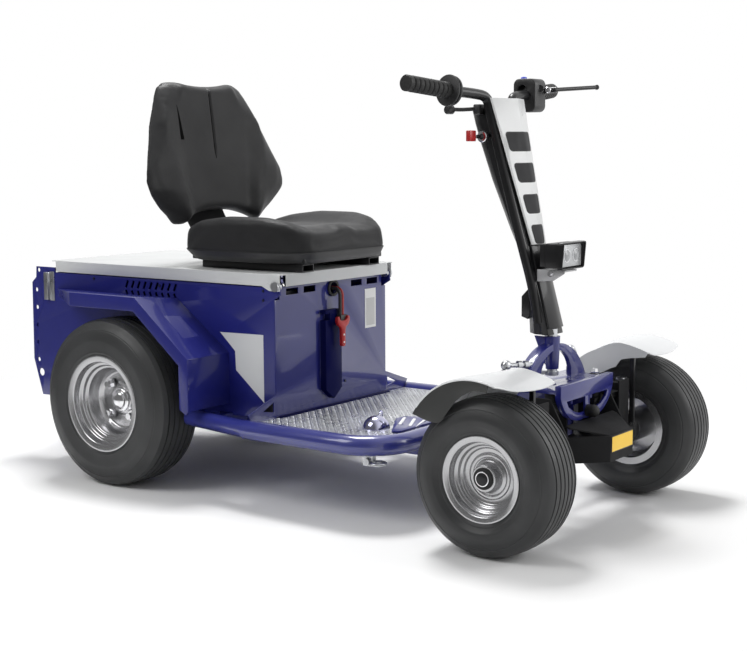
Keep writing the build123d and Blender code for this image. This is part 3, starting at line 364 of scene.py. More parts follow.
@dataclass(frozen=True)
class PostPaint(Paint):
    """Enamel with painted shade: a darker colour, and less coat and specular, on what stands out ahead of a
    plane.
    """

    ahead: float = 0.0346
    # deep: the painted shade's colour, for what stands out ahead of the plane.
    deep: Point = (0.004, 0.005, 0.055)

    def dress(self, graph: Graph) -> None:
        """Adds the painted shade: the darker colour in front of the plane."""
        super().dress(graph)
        parts = graph.add("ShaderNodeSeparateXYZ", {"Vector": graph.place})
        share = graph.remap(parts.outputs[0], self.ahead, self.ahead + MM, (0.0, 1.0))
        before = graph.shader.inputs["Base Color"].links[0].from_socket
        graph.feed("Base Color", graph.blend(share, before, self.deep))
        for name, plain in (("Coat Weight", self.coat), ("Specular IOR Level", self.specular)):
            graph.feed(name, graph.remap(share, 0.0, 1.0, (plain, 0.03)))


# The front panel's enamel, with painted shade on what stands ahead of its face.
PANEL = PostPaint("panel_enamel", (0.010, 0.013, 0.145), roughness=0.36, specular=0.35, mottle=0.04, coat=1.0)
# The hoop tube's enamel: a lighter copy of the blue enamel, painted light for the tube's brighter top.
LIT_TUBE_ENAMEL = Paint("tube_enamel", (0.022, 0.028, 0.21), roughness=0.34, specular=0.6, mottle=0.04, coat=1.0)
HEAD = Paint("head_enamel", (0.013, 0.016, 0.165), roughness=0.36, specular=0.4, mottle=0.04, coat=0.8)
BLUE = Paint("blue_enamel", (0.012, 0.015, 0.160), roughness=0.42, specular=0.2, mottle=0.04, coat=0.6)
WHITE = Paint("light_enamel", (0.70, 0.71, 0.72), roughness=0.34, specular=0.4, mottle=0.02, coat=0.4)
BLACK = Paint("black_enamel", (0.009, 0.009, 0.010), roughness=0.34, specular=0.3, mottle=0.15, coat=0.2)
MATT_BLACK = Paint(
    "matt_black_enamel", (0.016, 0.016, 0.017), roughness=0.6, specular=0.10, mottle=0.1, coat=0.0
)
GLOSS_BLACK = Paint(
    "gloss_black_enamel", (0.012, 0.012, 0.013), roughness=0.34, specular=0.25, mottle=0.1, coat=0.25
)
DECAL = Paint("grey_film", (0.62, 0.63, 0.63), roughness=0.42, mottle=0.02, coat=0.1)
YELLOW = Paint("yellow_plate", (0.93, 0.58, 0.02), roughness=0.4, mottle=0.03, coat=0.2)
LABEL = Paint("paper_label", (0.78, 0.78, 0.77), roughness=0.55, mottle=0.02, coat=0.0)
COVER_WHITE = Plastic("white_moulding", (0.76, 0.77, 0.77), roughness=0.3, mottle=0.015, texture=0.05)
WINDOW = Plastic("dark_window", (0.030, 0.030, 0.032), roughness=0.55, specular=0.15, texture=0.08)
SKIRT = Plastic("grey_skirt", (0.026, 0.027, 0.026), roughness=0.5, texture=0.15)
PLASTIC = Plastic("black_moulding", (0.020, 0.020, 0.021), roughness=0.45)
RED = Plastic("red_moulding", (0.42, 0.012, 0.012), roughness=0.35, texture=0.08)
BATTERY = Plastic("battery_case", (0.05, 0.05, 0.055), roughness=0.5)
TYRE = Rubber("tyre_rubber", (0.036, 0.037, 0.038), roughness=0.42, specular=0.4, mottle=0.14)
RUBBER = Rubber("soft_rubber", (0.018, 0.018, 0.018), roughness=0.6, specular=0.35)
VINYL = Vinyl("black_vinyl", (0.019, 0.019, 0.020), roughness=0.46, specular=0.2)
SILVER = Metal("silver_rim", (0.50, 0.50, 0.51), roughness=0.24, metallic=0.95, mottle=0.02, marks=0.01)
STEEL = Metal("zinc_steel", (0.55, 0.56, 0.58), roughness=0.32, mottle=0.08)
CHROME = Metal("polished_chrome", (0.80, 0.80, 0.82), roughness=0.10, mottle=0.03, marks=0.02)
ALUMINIUM = Metal("tread_aluminium", (0.72, 0.73, 0.75), roughness=0.30, mottle=0.06)
IRON = Metal("dark_iron", (0.045, 0.045, 0.048), roughness=0.55, metallic=0.4, mottle=0.3, marks=0.2)
SHELL = Plastic("seat_shell_moulding", (0.016, 0.016, 0.017), roughness=0.42)
# Near-black sheet laid in the backrest's groove and slit: painted shade.
GAP_SHADE = Plastic("dark_slit", (0.002, 0.002, 0.002), roughness=0.9, specular=0.05, texture=0.0)
LID_WHITE = Paint("lid_enamel", (0.57, 0.58, 0.58), roughness=0.36, specular=0.25, mottle=0.02, coat=0.1)
BLUE_DARK = Paint("bolt_enamel", (0.004, 0.005, 0.03), roughness=0.4, mottle=0.05, coat=0.2)
LABEL_GREY = Paint("label_field", (0.55, 0.55, 0.54), roughness=0.6, mottle=0.05, coat=0.0)
GRIP_WHITE = Paint("grip_strip", (0.80, 0.80, 0.82), roughness=0.5, mottle=0.03, coat=0.1)
REFLECTOR = Metal("lamp_reflector", (0.50, 0.51, 0.52), roughness=0.35, metallic=0.5, mottle=0.04, marks=0.05)
LENS_GREY = Plastic("lens_moulding", (0.38, 0.39, 0.40), roughness=0.12, mottle=0.1, texture=0.1)
BRACKET = Metal("bracket_steel", (0.42, 0.42, 0.43), roughness=0.42, metallic=0.6, mottle=0.08)
BUTTON = Plastic("blue_button", (0.06, 0.10, 0.75), roughness=0.3, texture=0.05)
TINTED = Metal("tinted_chrome", (0.52, 0.52, 0.68), roughness=0.16, mottle=0.06, marks=0.03)
LEADS = TwoTone("battery_lead_rubber", (0.014, 0.014, 0.015), roughness=0.5)

NODE_FINISH = {
    "blue_paint": BLUE,
    "light_paint": WHITE,
    "black_paint": BLACK,
    "vinyl": VINYL,
    "tyre": TYRE,
    "rim": SILVER,
    "steel": STEEL,
    "chrome": CHROME,
    "tread_plate": ALUMINIUM,
    "rubber": RUBBER,
    "dark_plastic": PLASTIC,
    "white_plastic": COVER_WHITE,
    "iron": IRON,
    "battery": BATTERY,
}
Looks = tuple[Finish, str, str]


# ---------------------------------------------------------------- mesh tools
def linked(data: bpy.types.ID, name: str = "work") -> bpy.types.Object:
    """Puts an object that holds some data in the scene."""
    thing = bpy.data.objects.new(name, data)
    bpy.context.scene.collection.objects.link(thing)
    return thing


@contextmanager
def edited(mesh: Mesh) -> Iterator[bmesh.types.BMesh]:
    """Opens a mesh for editing and writes it back."""
    work = bmesh.new()
    work.from_mesh(mesh)
    yield work
    work.to_mesh(mesh)
    work.free()


def modified(thing: bpy.types.Object, kind: str, **settings: object) -> Mesh:
    """An object's mesh with one more modifier applied, and the object removed.

    Args:
        thing: the object.
        kind: the modifier's type name.
        settings: the modifier's settings.

    Returns:
        The new mesh.
    """
    modifier = thing.modifiers.new("shape", kind)
    for name, value in settings.items():
        setattr(modifier, name, value)
    return evaluated(thing)


def piece(
    name: str, mesh: Mesh, finish: Finish | None, body: str, slot: str, replaced: tuple[str, ...] = ()
) -> bpy.types.Object:
    """Puts a mesh in the scene as a piece of the tug.

    Args:
        name: the piece's name.
        mesh: its mesh, in place.
        finish: its finish, or None where the mesh has its material.
        body: the body that it rides on.
        slot: the record's material slot; not used.
        replaced: the nodes that it stands for.

    Returns:
        The piece's object.
    """
    thing = linked(mesh, name)
    if finish is not None:
        mesh.materials.clear()
        mesh.materials.append(finish.material())
    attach(thing, body)
    if replaced:
        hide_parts(*replaced)
    LOG.info("%s: %d faces on %s", name, len(mesh.polygons), body)
    return thing


def smooth(mesh: Mesh, angle: float = 35.0) -> Mesh:
    """Shades a mesh smooth, with sharp edges above an angle in degrees."""
    mesh.polygons.foreach_set("use_smooth", [True] * len(mesh.polygons))
    mesh.set_sharp_from_angle(angle=math.radians(angle))
    mesh.update()
    return mesh


def mesh_of(points: list[Point], faces: list[tuple[int, ...]], name: str = "part") -> Mesh:
    """A mesh from points and faces, with its normals turned outwards."""
    mesh = bpy.data.meshes.new(name)
    mesh.from_pydata(points, [], faces)
    with edited(mesh) as work:
        bmesh.ops.remove_doubles(work, verts=work.verts, dist=1e-6)
        bmesh.ops.recalc_face_normals(work, faces=work.faces)
    return mesh


def rounded(corners: list[Pair], radius: float, steps: int = 3) -> list[Pair]:
    """Rounds the inner corners of an open line.

    Args:
        corners: the line's corners.
        radius: the largest rounding.
        steps: points along each rounding, less one.

    Returns:
        The rounded line's points.
    """
    made = [corners[0]]
    for here, before, after in zip(corners[1:], corners, corners[2:]):
        middle = Vector(here)
        arms = [Vector(other) - middle for other in (before, after)]
        cut = min(radius, arms[0].length * 0.45, arms[1].length * 0.45)
        start, end = (middle + arm.normalized() * cut for arm in arms)
        for step in range(steps + 1):
            t = step / steps
            spot = start * (1 - t) ** 2 + middle * 2 * t * (1 - t) + end * t**2
            made.append((spot.x, spot.y))
    return [*made, corners[-1]]


def spun(profile: list[Pair], segments: int, spot: Callable[[float, float, float], Point]) -> Mesh:
    """Turns a closed profile about a line.

    Args:
        profile: (radius, distance along the line) pairs in mm.
        segments: how many steps round.
        spot: the point in metres for an angle, a radius and a distance.

    Returns:
        The turned mesh.
    """
    angles = [2 * math.pi * turn / segments for turn in range(segments)]
    rows = [[spot(angle, radius, far) for radius, far in profile] for angle in angles]
    return smooth(sheet_mesh([*rows, rows[0]], closed=True))


def lathe(profile: list[Pair], centre: Point, side: Side, segments: int = 96) -> Mesh:
    """Turns a closed profile about an axle along Y.

    Args:
        profile: (radius, outward distance) pairs in mm.
        centre: the axle point in metres.
        side: which way outward is.
        segments: how many steps round.

    Returns:
        The turned mesh.
    """
    x, y, z = centre

    def spot(angle: float, radius: float, out: float) -> Point:
        """A point of the turned shape."""
        around = radius * MM
        return (x + around * math.cos(angle), y + side.value * out * MM, z + around * math.sin(angle))

    return spun(profile, segments, spot)


def turned(profile: list[Pair], foot: Point, axis: Point, segments: int = 32) -> Mesh:
    """Turns a closed profile about any line.

    Args:
        profile: (radius, distance along the line) pairs in mm.
        foot: where the line starts, in metres.
        axis: the line's direction.
        segments: how many steps round.

    Returns:
        The turned mesh.
    """
    along = Vector(axis).normalized()
    first = along.orthogonal().normalized()
    second = along.cross(first)

    def spot(angle: float, radius: float, far: float) -> Point:
        """A point of the turned shape."""
        out = first * math.cos(angle) + second * math.sin(angle)
        return tuple(Vector(foot) + (along * far + out * radius) * MM)

    return spun(profile, segments, spot)


def tube(path: list[Point], radius: float, segments: int = 20) -> Mesh:
    """A round bar along a path, with its corners rounded and its ends closed.

    Args:
        path: points in metres.
        radius: the bar's radius in mm.
        segments: how many sides it has.

    Returns:
        The mesh.
    """
    line = [Vector(point) for point in path]
    for _ in range(4):
        cut = [line[0]]
        for first, second in zip(line, line[1:]):
            cut += [first.lerp(second, 0.25), first.lerp(second, 0.75)]
        line = [*cut, line[-1]]
    side = (line[1] - line[0]).orthogonal()
    rows: list[list[Point]] = []
    for index, here in enumerate(line):
        along = (line[min(index + 1, len(line) - 1)] - line[max(index - 1, 0)]).normalized()
        side = (side - along * side.dot(along)).normalized()
        other = along.cross(side)
        turns = [2 * math.pi * turn / segments for turn in range(segments)]
        ring = [here + (side * math.cos(turn) + other * math.sin(turn)) * radius * MM for turn in turns]
        rows.append([tuple(spot) for spot in ring])
    return smooth(filled(sheet_mesh(rows, closed=True)), 60)


def filled(mesh: Mesh) -> Mesh:
    """Closes a mesh's open ends and turns its normals outwards."""
    with edited(mesh) as work:
        bmesh.ops.holes_fill(work, edges=work.edges)
        bmesh.ops.recalc_face_normals(work, faces=work.faces)
    return mesh


def box(x: Pair, y: Pair, z: Pair, bevel: float = 1.0) -> Mesh:
    """A block between limits in mm along each axis, with edges rounded by a bevel in mm."""
    outline = [at(x[0], *corner) for corner in ((y[0], z[0]), (y[1], z[0]), (y[1], z[1]), (y[0], z[1]))]
    return bevelled(slab(outline, ((x[1] - x[0]) * MM, 0.0, 0.0)), bevel)


def joined(meshes: list[Mesh]) -> Mesh:
    """Several meshes as one."""
    whole = bpy.data.meshes.new("joined")
    with edited(whole) as work:
        for mesh in meshes:
            work.from_mesh(mesh)
    return smooth(whole, 40)


def table(rows: tuple[Pair, ...], at: float) -> float:
    """A value read between the rows of a table in rising order."""
    if at <= rows[0][0]:
        return rows[0][1]
    for (a, low), (b, high) in zip(rows, rows[1:]):
        if at <= b:
            return low + (high - low) * (at - a) / (b - a)
    return rows[-1][1]


def ease(value: float, low: float, high: float) -> float:
    """A smooth step from 0 at low to 1 at high."""
    share = max(0.0, min(1.0, (value - low) / (high - low)))
    return share * share * (3 - 2 * share)


def sheet_mesh(rows: list[list[Point]], closed: bool = False) -> Mesh:
    """A mesh over rows of equally many points; closed says that each row closes on itself."""
    width = len(rows[0])
    faces = []
    for row in range(len(rows) - 1):
        for index in range(width if closed else width - 1):
            a = row * width + index
            b = row * width + (index + 1) % width
            faces.append((a, b, b + width, a + width))
    return mesh_of([spot for row in rows for spot in row], faces, "sheet")


def walled(mesh: Mesh, amount: float, toward: Move = lambda spot: AHEAD) -> Mesh:
    """Gives a sheet a wall that grows away from the side that it shows.

    Args:
        mesh: the sheet.
        amount: the wall in mm.
        toward: the direction that the shown side faces at a point.

    Returns:
        The closed mesh.
    """
    with edited(mesh) as work:
        sides = [toward(face.calc_center_median()).dot(face.normal) * face.calc_area() for face in work.faces]
        if sum(sides) < 0:
            bmesh.ops.reverse_faces(work, faces=work.faces)
    return smooth(modified(linked(mesh), "SOLIDIFY", thickness=amount * MM, offset=-1.0), 50)


def slab(outline: list[Point], thickness: Point) -> Mesh:
    """A flat polygon pushed along a vector into a plate."""
    count = len(outline)
    shifted = [tuple(a + b for a, b in zip(spot, thickness)) for spot in outline]
    faces = [tuple(range(count)), tuple(range(2 * count - 1, count - 1, -1))]
    for index in range(count):
        after = (index + 1) % count
        faces.append((index, after, count + after, count + index))
    return mesh_of(outline + shifted, faces, "plate")


def evaluated(thing: bpy.types.Object) -> Mesh:
    """The object's mesh with its modifiers applied, and the object removed."""
    bpy.context.view_layer.update()
    graph = bpy.context.evaluated_depsgraph_get()
    mesh = bpy.data.meshes.new_from_object(thing.evaluated_get(graph))
    bpy.data.objects.remove(thing)
    return mesh


def bevelled(mesh: Mesh, width: float) -> Mesh:
    """A mesh with its hard edges rounded by a width in mm."""
    edges = {"width": width * MM, "segments": 2, "limit_method": "ANGLE", "angle_limit": math.radians(28)}
    return smooth(modified(linked(mesh), "BEVEL", harden_normals=False, **edges), 40)


def merged(work: bmesh.types.BMesh) -> None:
    """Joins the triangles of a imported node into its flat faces."""
    bmesh.ops.dissolve_limit(work, angle_limit=math.radians(0.6), verts=work.verts, edges=work.edges)


def softened(node: str, finish: Finish, body: str, slot: str, width: float, move: Move | None = None) -> None:
    """Stands in for a CAD node with the same shape and rounded edges.

    Args:
        node: the node's name.
        finish: its finish.
        body: the body that it rides on.
        slot: the record's material slot.
        width: the rounding in mm.
        move: where each point of the copy goes.
    """
    source = bpy.data.objects[node].data.copy()
    with edited(source) as work:
        if move:
            for vert in work.verts:
                vert.co = move(vert.co)
        bmesh.ops.remove_doubles(work, verts=work.verts, dist=WELD)
        merged(work)
    piece(f"{node}_skin", bevelled(source, width), finish, body, slot, (node,))


def island(node: str, spot: Point) -> Mesh:
    """A copy of the connected part of a CAD node that comes nearest to a point."""
    mesh = bpy.data.objects[node].data.copy()
    with edited(mesh) as work:
        bmesh.ops.remove_doubles(work, verts=work.verts, dist=WELD)
        start = min(work.verts, key=lambda vert: (vert.co - Vector(spot)).length)
        found = {start}
        edge = [start]
        while edge:
            vert = edge.pop()
            fresh = {link.other_vert(vert) for link in vert.link_edges} - found
            found |= fresh
            edge += fresh
        bmesh.ops.delete(work, geom=[vert for vert in work.verts if vert not in found], context="VERTS")
        merged(work)
    mesh.materials.clear()
    return mesh


def remeshed(mesh: Mesh, voxel: float) -> Mesh:
    """An even mesh over the same closed shape, for a voxel size in mm."""
    return modified(linked(mesh), "REMESH", mode="VOXEL", voxel_size=voxel * MM)


def swollen(thing: bpy.types.Object, fixed_below: float) -> None:
    """Runs a cloth simulation with pressure on a pad that is held below a height in metres."""
    verts = thing.data.vertices
    thing.vertex_groups.new(name="held").add([v.index for v in verts if v.co.z < fixed_below], 1.0, "REPLACE")
    cloth = thing.modifiers.new("cover", "CLOTH")
    settings = {"quality": 6, "mass": 0.4, "tension_stiffness": 40, "compression_stiffness": 40}
    settings |= {"bending_stiffness": 4, "use_pressure": True, "uniform_pressure_force": 4.0}
    for name, value in settings.items():
        setattr(cloth.settings, name, value)
    cloth.settings.vertex_group_mass = "held"
    cloth.settings.effector_weights.gravity = 0.0
    cloth.collision_settings.use_collision = False
    cloth.point_cache.frame_start, cloth.point_cache.frame_end = 1, SIM_FRAMES
    for frame in range(1, SIM_FRAMES + 1):
        bpy.context.scene.frame_set(frame)


def padded(mesh: Mesh, cap: float, fixed_below: float) -> Mesh:
    """Swells a closed pad with a cloth simulation, then smooths and subdivides it.

    Args:
        mesh: the evenly meshed pad.
        cap: the most that a point may move, in mm.
        fixed_below: the height in metres under which the pad is held.

    Returns:
        The finished pad.
    """
    before = [vert.co.copy() for vert in mesh.vertices]
    thing = linked(mesh)
    swollen(thing, fixed_below)
    pad = evaluated(thing)
    bpy.context.scene.frame_set(1)
    for vert, old in zip(pad.vertices, before):
        step = vert.co - old
        if step.length > cap * MM:
            vert.co = old + step.normalized() * cap * MM
    axes = {f"use_axis_{axis}": True for axis in "xyz"}
    with edited(pad) as work:
        for _ in range(3):
            bmesh.ops.smooth_vert(work, verts=work.verts, factor=0.5, **axes)
    return smooth(modified(linked(pad), "SUBSURF", levels=1, render_levels=1), 80)


class Scatter:
    """A Geometry Nodes tree that sets one fastener or bar on each given point."""

    def __init__(self, corners: int, washer: bool) -> None:
        """Builds the tree.

        Args:
            corners: corners of the piece's outline.
            washer: whether a washer lies under it.
        """
        self.tree = bpy.data.node_groups.new("scatter", "GeometryNodeTree")
        self.socket("Geometry", "Geometry")
        self.sizes = {name: self.socket(name, "Float") for name in ("Radius", "Height", "Length")}
        self.paint = self.socket("Paint", "Material")
        self.socket("Geometry", "Geometry", "OUTPUT")
        self.wire(corners, washer)

    def socket(self, name: str, kind: str, way: str = "INPUT") -> str:
        """Adds a socket to the tree's interface and returns its identifier."""
        face = self.tree.interface
        return face.new_socket(name, in_out=way, socket_type=f"NodeSocket{kind}").identifier

    def output(self, kind: str, inputs: Inputs, **settings: str) -> Socket:
        """Adds a node and returns its first output."""
        return wired(self.tree, kind, inputs, **settings).outputs[0]

    def scaled(self, socket: Socket, factor: float) -> Socket:
        """A value times a factor."""
        return self.output("ShaderNodeMath", {0: socket, 1: factor}, operation="MULTIPLY")

    def wire(self, corners: int, washer: bool) -> None:
        """Wires the tree: one shape on each point, turned to the point's own direction."""
        start = wired(self.tree, "NodeGroupInput", {}).outputs
        radius, height = start["Radius"], start["Height"]
        form = {"Radius Top": self.scaled(radius, 0.86), "Radius Bottom": radius, "Depth": height}
        shape = self.output("GeometryNodeMeshCone", {"Vertices": corners, **form})
        if washer:
            form = {"Radius": self.scaled(radius, 1.4), "Depth": self.scaled(height, 0.25)}
            ring = self.output("GeometryNodeMeshCylinder", {"Vertices": 20, **form})
            join = wired(self.tree, "GeometryNodeJoinGeometry", {0: shape})
            self.tree.links.new(ring, join.inputs[0])
            shape = join.outputs[0]
        stretch = self.output("ShaderNodeCombineXYZ", {0: start["Length"], 1: 1.0, 2: 1.0})
        shape = self.output("GeometryNodeTransform", {"Geometry": shape, "Scale": stretch})
        out, along = (
            self.output("GeometryNodeInputNamedAttribute", {"Name": name}, data_type="FLOAT_VECTOR")
            for name in ("out", "along")
        )
        align = "FunctionNodeAlignRotationToVector"
        turn = self.output(align, {"Vector": out}, axis="Z")
        turn = self.output(align, {"Rotation": turn, "Vector": along}, axis="X", pivot_axis="Z")
        where = {"Points": start["Geometry"], "Instance": shape, "Rotation": turn}
        placed = self.output("GeometryNodeInstanceOnPoints", where)
        real = self.output("GeometryNodeRealizeInstances", {0: placed})
        painted = self.output("GeometryNodeSetMaterial", {"Geometry": real, "Material": start["Paint"]})
        wired(self.tree, "NodeGroupOutput", {0: painted})

    def mesh(self, spots: list[Setting], radius: float, height: float, length: float, finish: Finish) -> Mesh:
        """Sets the shape on the points and returns the plain mesh.

        Args:
            spots: (position, outward direction, direction along it) of each one.
            radius: radius in mm.
            height: height in mm.
            length: how far it is stretched along its own length.
            finish: the finish of all of them.

        Returns:
            The mesh of all the shapes.
        """
        base = bpy.data.meshes.new("spots")
        base.from_pydata([spot[0] for spot in spots], [], [])
        for name, column in (("out", 1), ("along", 2)):
            data = base.attributes.new(name, "FLOAT_VECTOR", "POINT").data
            data.foreach_set("vector", [number for spot in spots for number in spot[column]])
        thing = linked(base)
        modifier = thing.modifiers.new("scatter", "NODES")
        modifier.node_group = self.tree
        for name, value in (("Radius", radius * MM), ("Height", height * MM), ("Length", length)):
            modifier[self.sizes[name]] = value
        modifier[self.paint] = finish.material()
        return smooth(evaluated(thing), 30)


HARDWARE: dict[HeadForm, Scatter] = {}


def fasteners(name: str, form: HeadForm, spots: list[Setting], size: Point, looks: Looks) -> None:
    """Sets small repeated pieces, as one piece.

    Args:
        name: the piece's name.
        form: the shape of each one's head.
        spots: (position, outward direction, direction along it) of each one.
        size: its radius and height in mm, and how far it is stretched.
        looks: the finish, the body and the record's material slot.
    """
    finish, body, slot = looks
    piece(name, HARDWARE[form].mesh(spots, *size, finish), None, body, slot)


# ---------------------------------------------------------------- wheels
@dataclass
class Wheel:
    """One wheel: grooved tyre, pressed rim, hub and nuts."""

    side: Side
    end: str = ""
    place: Point = (0.0, 0.0, 0.0)
    tyre_r: float = 0.0
    half_w: float = 0.0
    flange_r: float = 0.0
    bead_half: float = 0.0
    bead_r: float = 0.0
    grooves: int = 6
    groove_deep: float = 5.0
    groove_half: tuple[float, float] = (2.2, 1.2)

    @property
    def axle(self) -> Point:
        """The middle of the wheel."""
        return (self.place[0], self.side.value * self.place[1], self.place[2])

    def tyre_profile(self) -> list[Pair]:
        """The tyre's closed section, from the inner bead over the tread to the outer bead."""
        shoulder_r = self.tyre_r * 0.92
        shoulder_y = self.half_w - 12
        bulge_r = (self.flange_r + shoulder_r) / 2
        half = [
            (self.bead_r, self.bead_half),
            (self.flange_r - 4, self.bead_half + 0.5),
            (self.flange_r + 1, self.bead_half + 4.5),
            (self.flange_r + 5, self.bead_half + 6.5),
            (self.flange_r + 6.5, self.bead_half + 6.2),
            (bulge_r - 12, self.half_w - 1.6),
            (bulge_r, self.half_w - 0.2),
            (bulge_r + 8, self.half_w - 1.2),
            (shoulder_r - 11, self.half_w - 4.5),
            (shoulder_r - 9.5, self.half_w - 6.3),
            (shoulder_r - 8, self.half_w - 5.6),
            (shoulder_r, shoulder_y),
            (self.tyre_r - 6.5, shoulder_y - 5),
        ]
        tread: list[Pair] = []
        edge = shoulder_y - 8
        pitch = 2 * edge / (self.grooves + 0.4)
        wide, narrow = self.groove_half
        for index in range(self.grooves):
            y = ((self.grooves - 1) / 2 - index) * pitch
            crown = self.tyre_r - 0.3 - 3.4 * (y / edge) ** 2
            floor = crown - self.groove_deep
            tread += [(crown, y + wide), (floor, y + narrow), (floor, y - narrow), (crown, y - wide)]
        other = [(radius, -out) for radius, out in reversed(half)]
        return rounded(half, 2.2, 2) + tread + rounded(other, 2.2, 2)

    def rim_profile(self) -> list[Pair]:
        """The rim's closed section, which depends on the end of the vehicle."""
        raise NotImplementedError

    def hub(self) -> None:
        """Adds what sits in the middle of the rim."""
        raise NotImplementedError

    def add(
        self, name: str, profile: list[Pair], segments: int, looks: tuple[Finish, str], node: str = ""
    ) -> None:
        """Adds a turned piece of the wheel.

        Args:
            name: its name, before the side's.
            profile: its closed section.
            segments: how many steps round.
            looks: its finish and the record's material slot.
            node: the kind of node that it stands for, if any.
        """
        mesh = lathe(profile, self.axle, self.side, segments)
        finish, slot = looks
        stem = f"{self.end}_{node}_{self.side.word}" if node else ""
        full = f"{stem}_{name}" if node else f"{self.end}_{name}_{self.side.word}"
        piece(full, mesh, finish, self.body, slot, (stem,) if node else ())

    @property
    def body(self) -> str:
        """The body that the wheel rides on."""
        return f"{self.end}_wheel_{self.side.word}"

    def build(self) -> None:
        """Makes the tyre, rim and hub."""
        self.add("ribbed", self.tyre_profile(), 128, (TYRE, "tyre"), "tyre")
        self.add("pressed", self.rim_profile(), 96, (SILVER, "rim"), "rim")
        self.hub()


@dataclass
class FrontWheel(Wheel):
    """A front wheel on its stub axle."""

    end: str = "front"
    place: Point = (FRONT_X, 0.3185, 0.160)
    tyre_r: float = 160.0
    half_w: float = 66.5
    flange_r: float = 88.5
    bead_half: float = 51.5
    bead_r: float = 76.3

    def rim_profile(self) -> list[Pair]:
        """Deep bowl with stepped rings."""
        outside = [
            (76.0, 30.0), (76.0, 52.0), (86.6, 52.6), (87.0, 56.4), (84.0, 56.5), (74.0, 54.0),
            (72.0, 46.0), (71.5, 37.0), (65.0, 34.5), (63.5, 27.0), (58.0, 25.0), (56.5, 19.0),
            (47.0, 17.5), (45.0, 20.5), (39.0, 20.5), (37.0, 17.5), (29.5, 20.0), (27.5, 27.0),
            (26.6, 42.0), (25.0, 42.5), (14.0, 42.5),
        ]
        inside = [
            (14.0, -68.0), (36.0, -68.0), (36.5, 11.0), (60.0, 11.0), (62.0, -26.0), (72.0, -36.0),
            (72.0, -56.0), (87.0, -56.4), (87.0, -52.5), (76.0, -52.4), (75.9, -34.0), (64.0, -26.0),
            (64.2, 24.0),
        ]
        return rounded(outside, 2.0) + inside

    def hub(self) -> None:
        """Black bearing cap and plated castle nut round the stub's end."""
        cap = [(13.2, 42.4), (13.2, 46.0), (17.0, 46.4), (21.5, 46.0), (22.0, 44.5), (22.0, 42.4)]
        self.add("cap", rounded(cap, 0.8), 48, (RUBBER, "dark_plastic"))
        ring = [(12.7, 46.2), (12.7, 49.0), (15.2, 49.0), (15.4, 46.6)]
        self.add("ring", rounded(ring, 0.5), 48, (CHROME, "chrome"))


@dataclass
class RearWheel(Wheel):
    """A rear wheel on its flange, with four studs."""

    end: str = "rear"
    place: Point = (REAR_X, 0.312, 0.201)
    tyre_r: float = 201.0
    half_w: float = 72.5
    flange_r: float = 117.5
    bead_half: float = 63.0
    bead_r: float = 101.8
    nuts: int = 4
    nut_circle: float = 50.0

    def rim_profile(self) -> list[Pair]:
        """Wide bowl with a coned disc."""
        outside = [
            (101.5, 30.0), (101.5, 63.6), (115.6, 64.2), (116.0, 67.8), (112.5, 68.0), (99.5, 65.5),
            (97.5, 58.0), (97.0, 48.0), (89.0, 45.0), (87.5, 36.0), (81.0, 34.0), (79.5, 14.0), (77.0, 4.0),
            (70.0, -3.5), (66.0, -5.0), (44.0, -5.0), (38.0, -3.5), (33.5, 2.0), (31.0, 4.0), (0.5, 4.0),
        ]
        inside = [
            (0.5, -10.0), (15.6, -10.0), (15.6, -72.0), (39.0, -72.0), (39.0, -12.0), (80.0, -12.0),
            (85.5, -36.0), (97.5, -47.0), (97.5, -67.6), (116.0, -67.8), (116.0, -64.0), (101.5, -63.9),
            (101.4, -46.0), (88.0, -36.0), (88.0, 30.0),
        ]
        return rounded(outside, 2.4) + inside

    def hub(self) -> None:
        """Plated centre cap, studs and hexagon nuts."""
        cap = [(0.3, 3.8), (28.8, 3.8), (29.0, 6.5), (26.0, 8.6), (22.0, 9.0), (19.0, 14.0), (12.0, 17.5)]
        self.add("cap", rounded([*cap, (0.3, 18.5)], 1.5), 64, (CHROME, "chrome"))
        out = (0.0, float(self.side.value), 0.0)
        x, y, z = self.axle
        spots = []
        for index in range(self.nuts):
            angle = math.radians(360 / self.nuts * index + 45)
            along = (math.cos(angle), 0.0, math.sin(angle))
            reach = self.nut_circle * MM
            spot = (x + reach * along[0], y + self.side.value * 2 * MM, z + reach * along[2])
            spots.append((spot, out, along))
        looks = (CHROME, self.body, "chrome")
        fasteners(f"rear_nuts_{self.side.word}", HeadForm.HEX, spots, (9.6, 14.0, 1.0), looks)


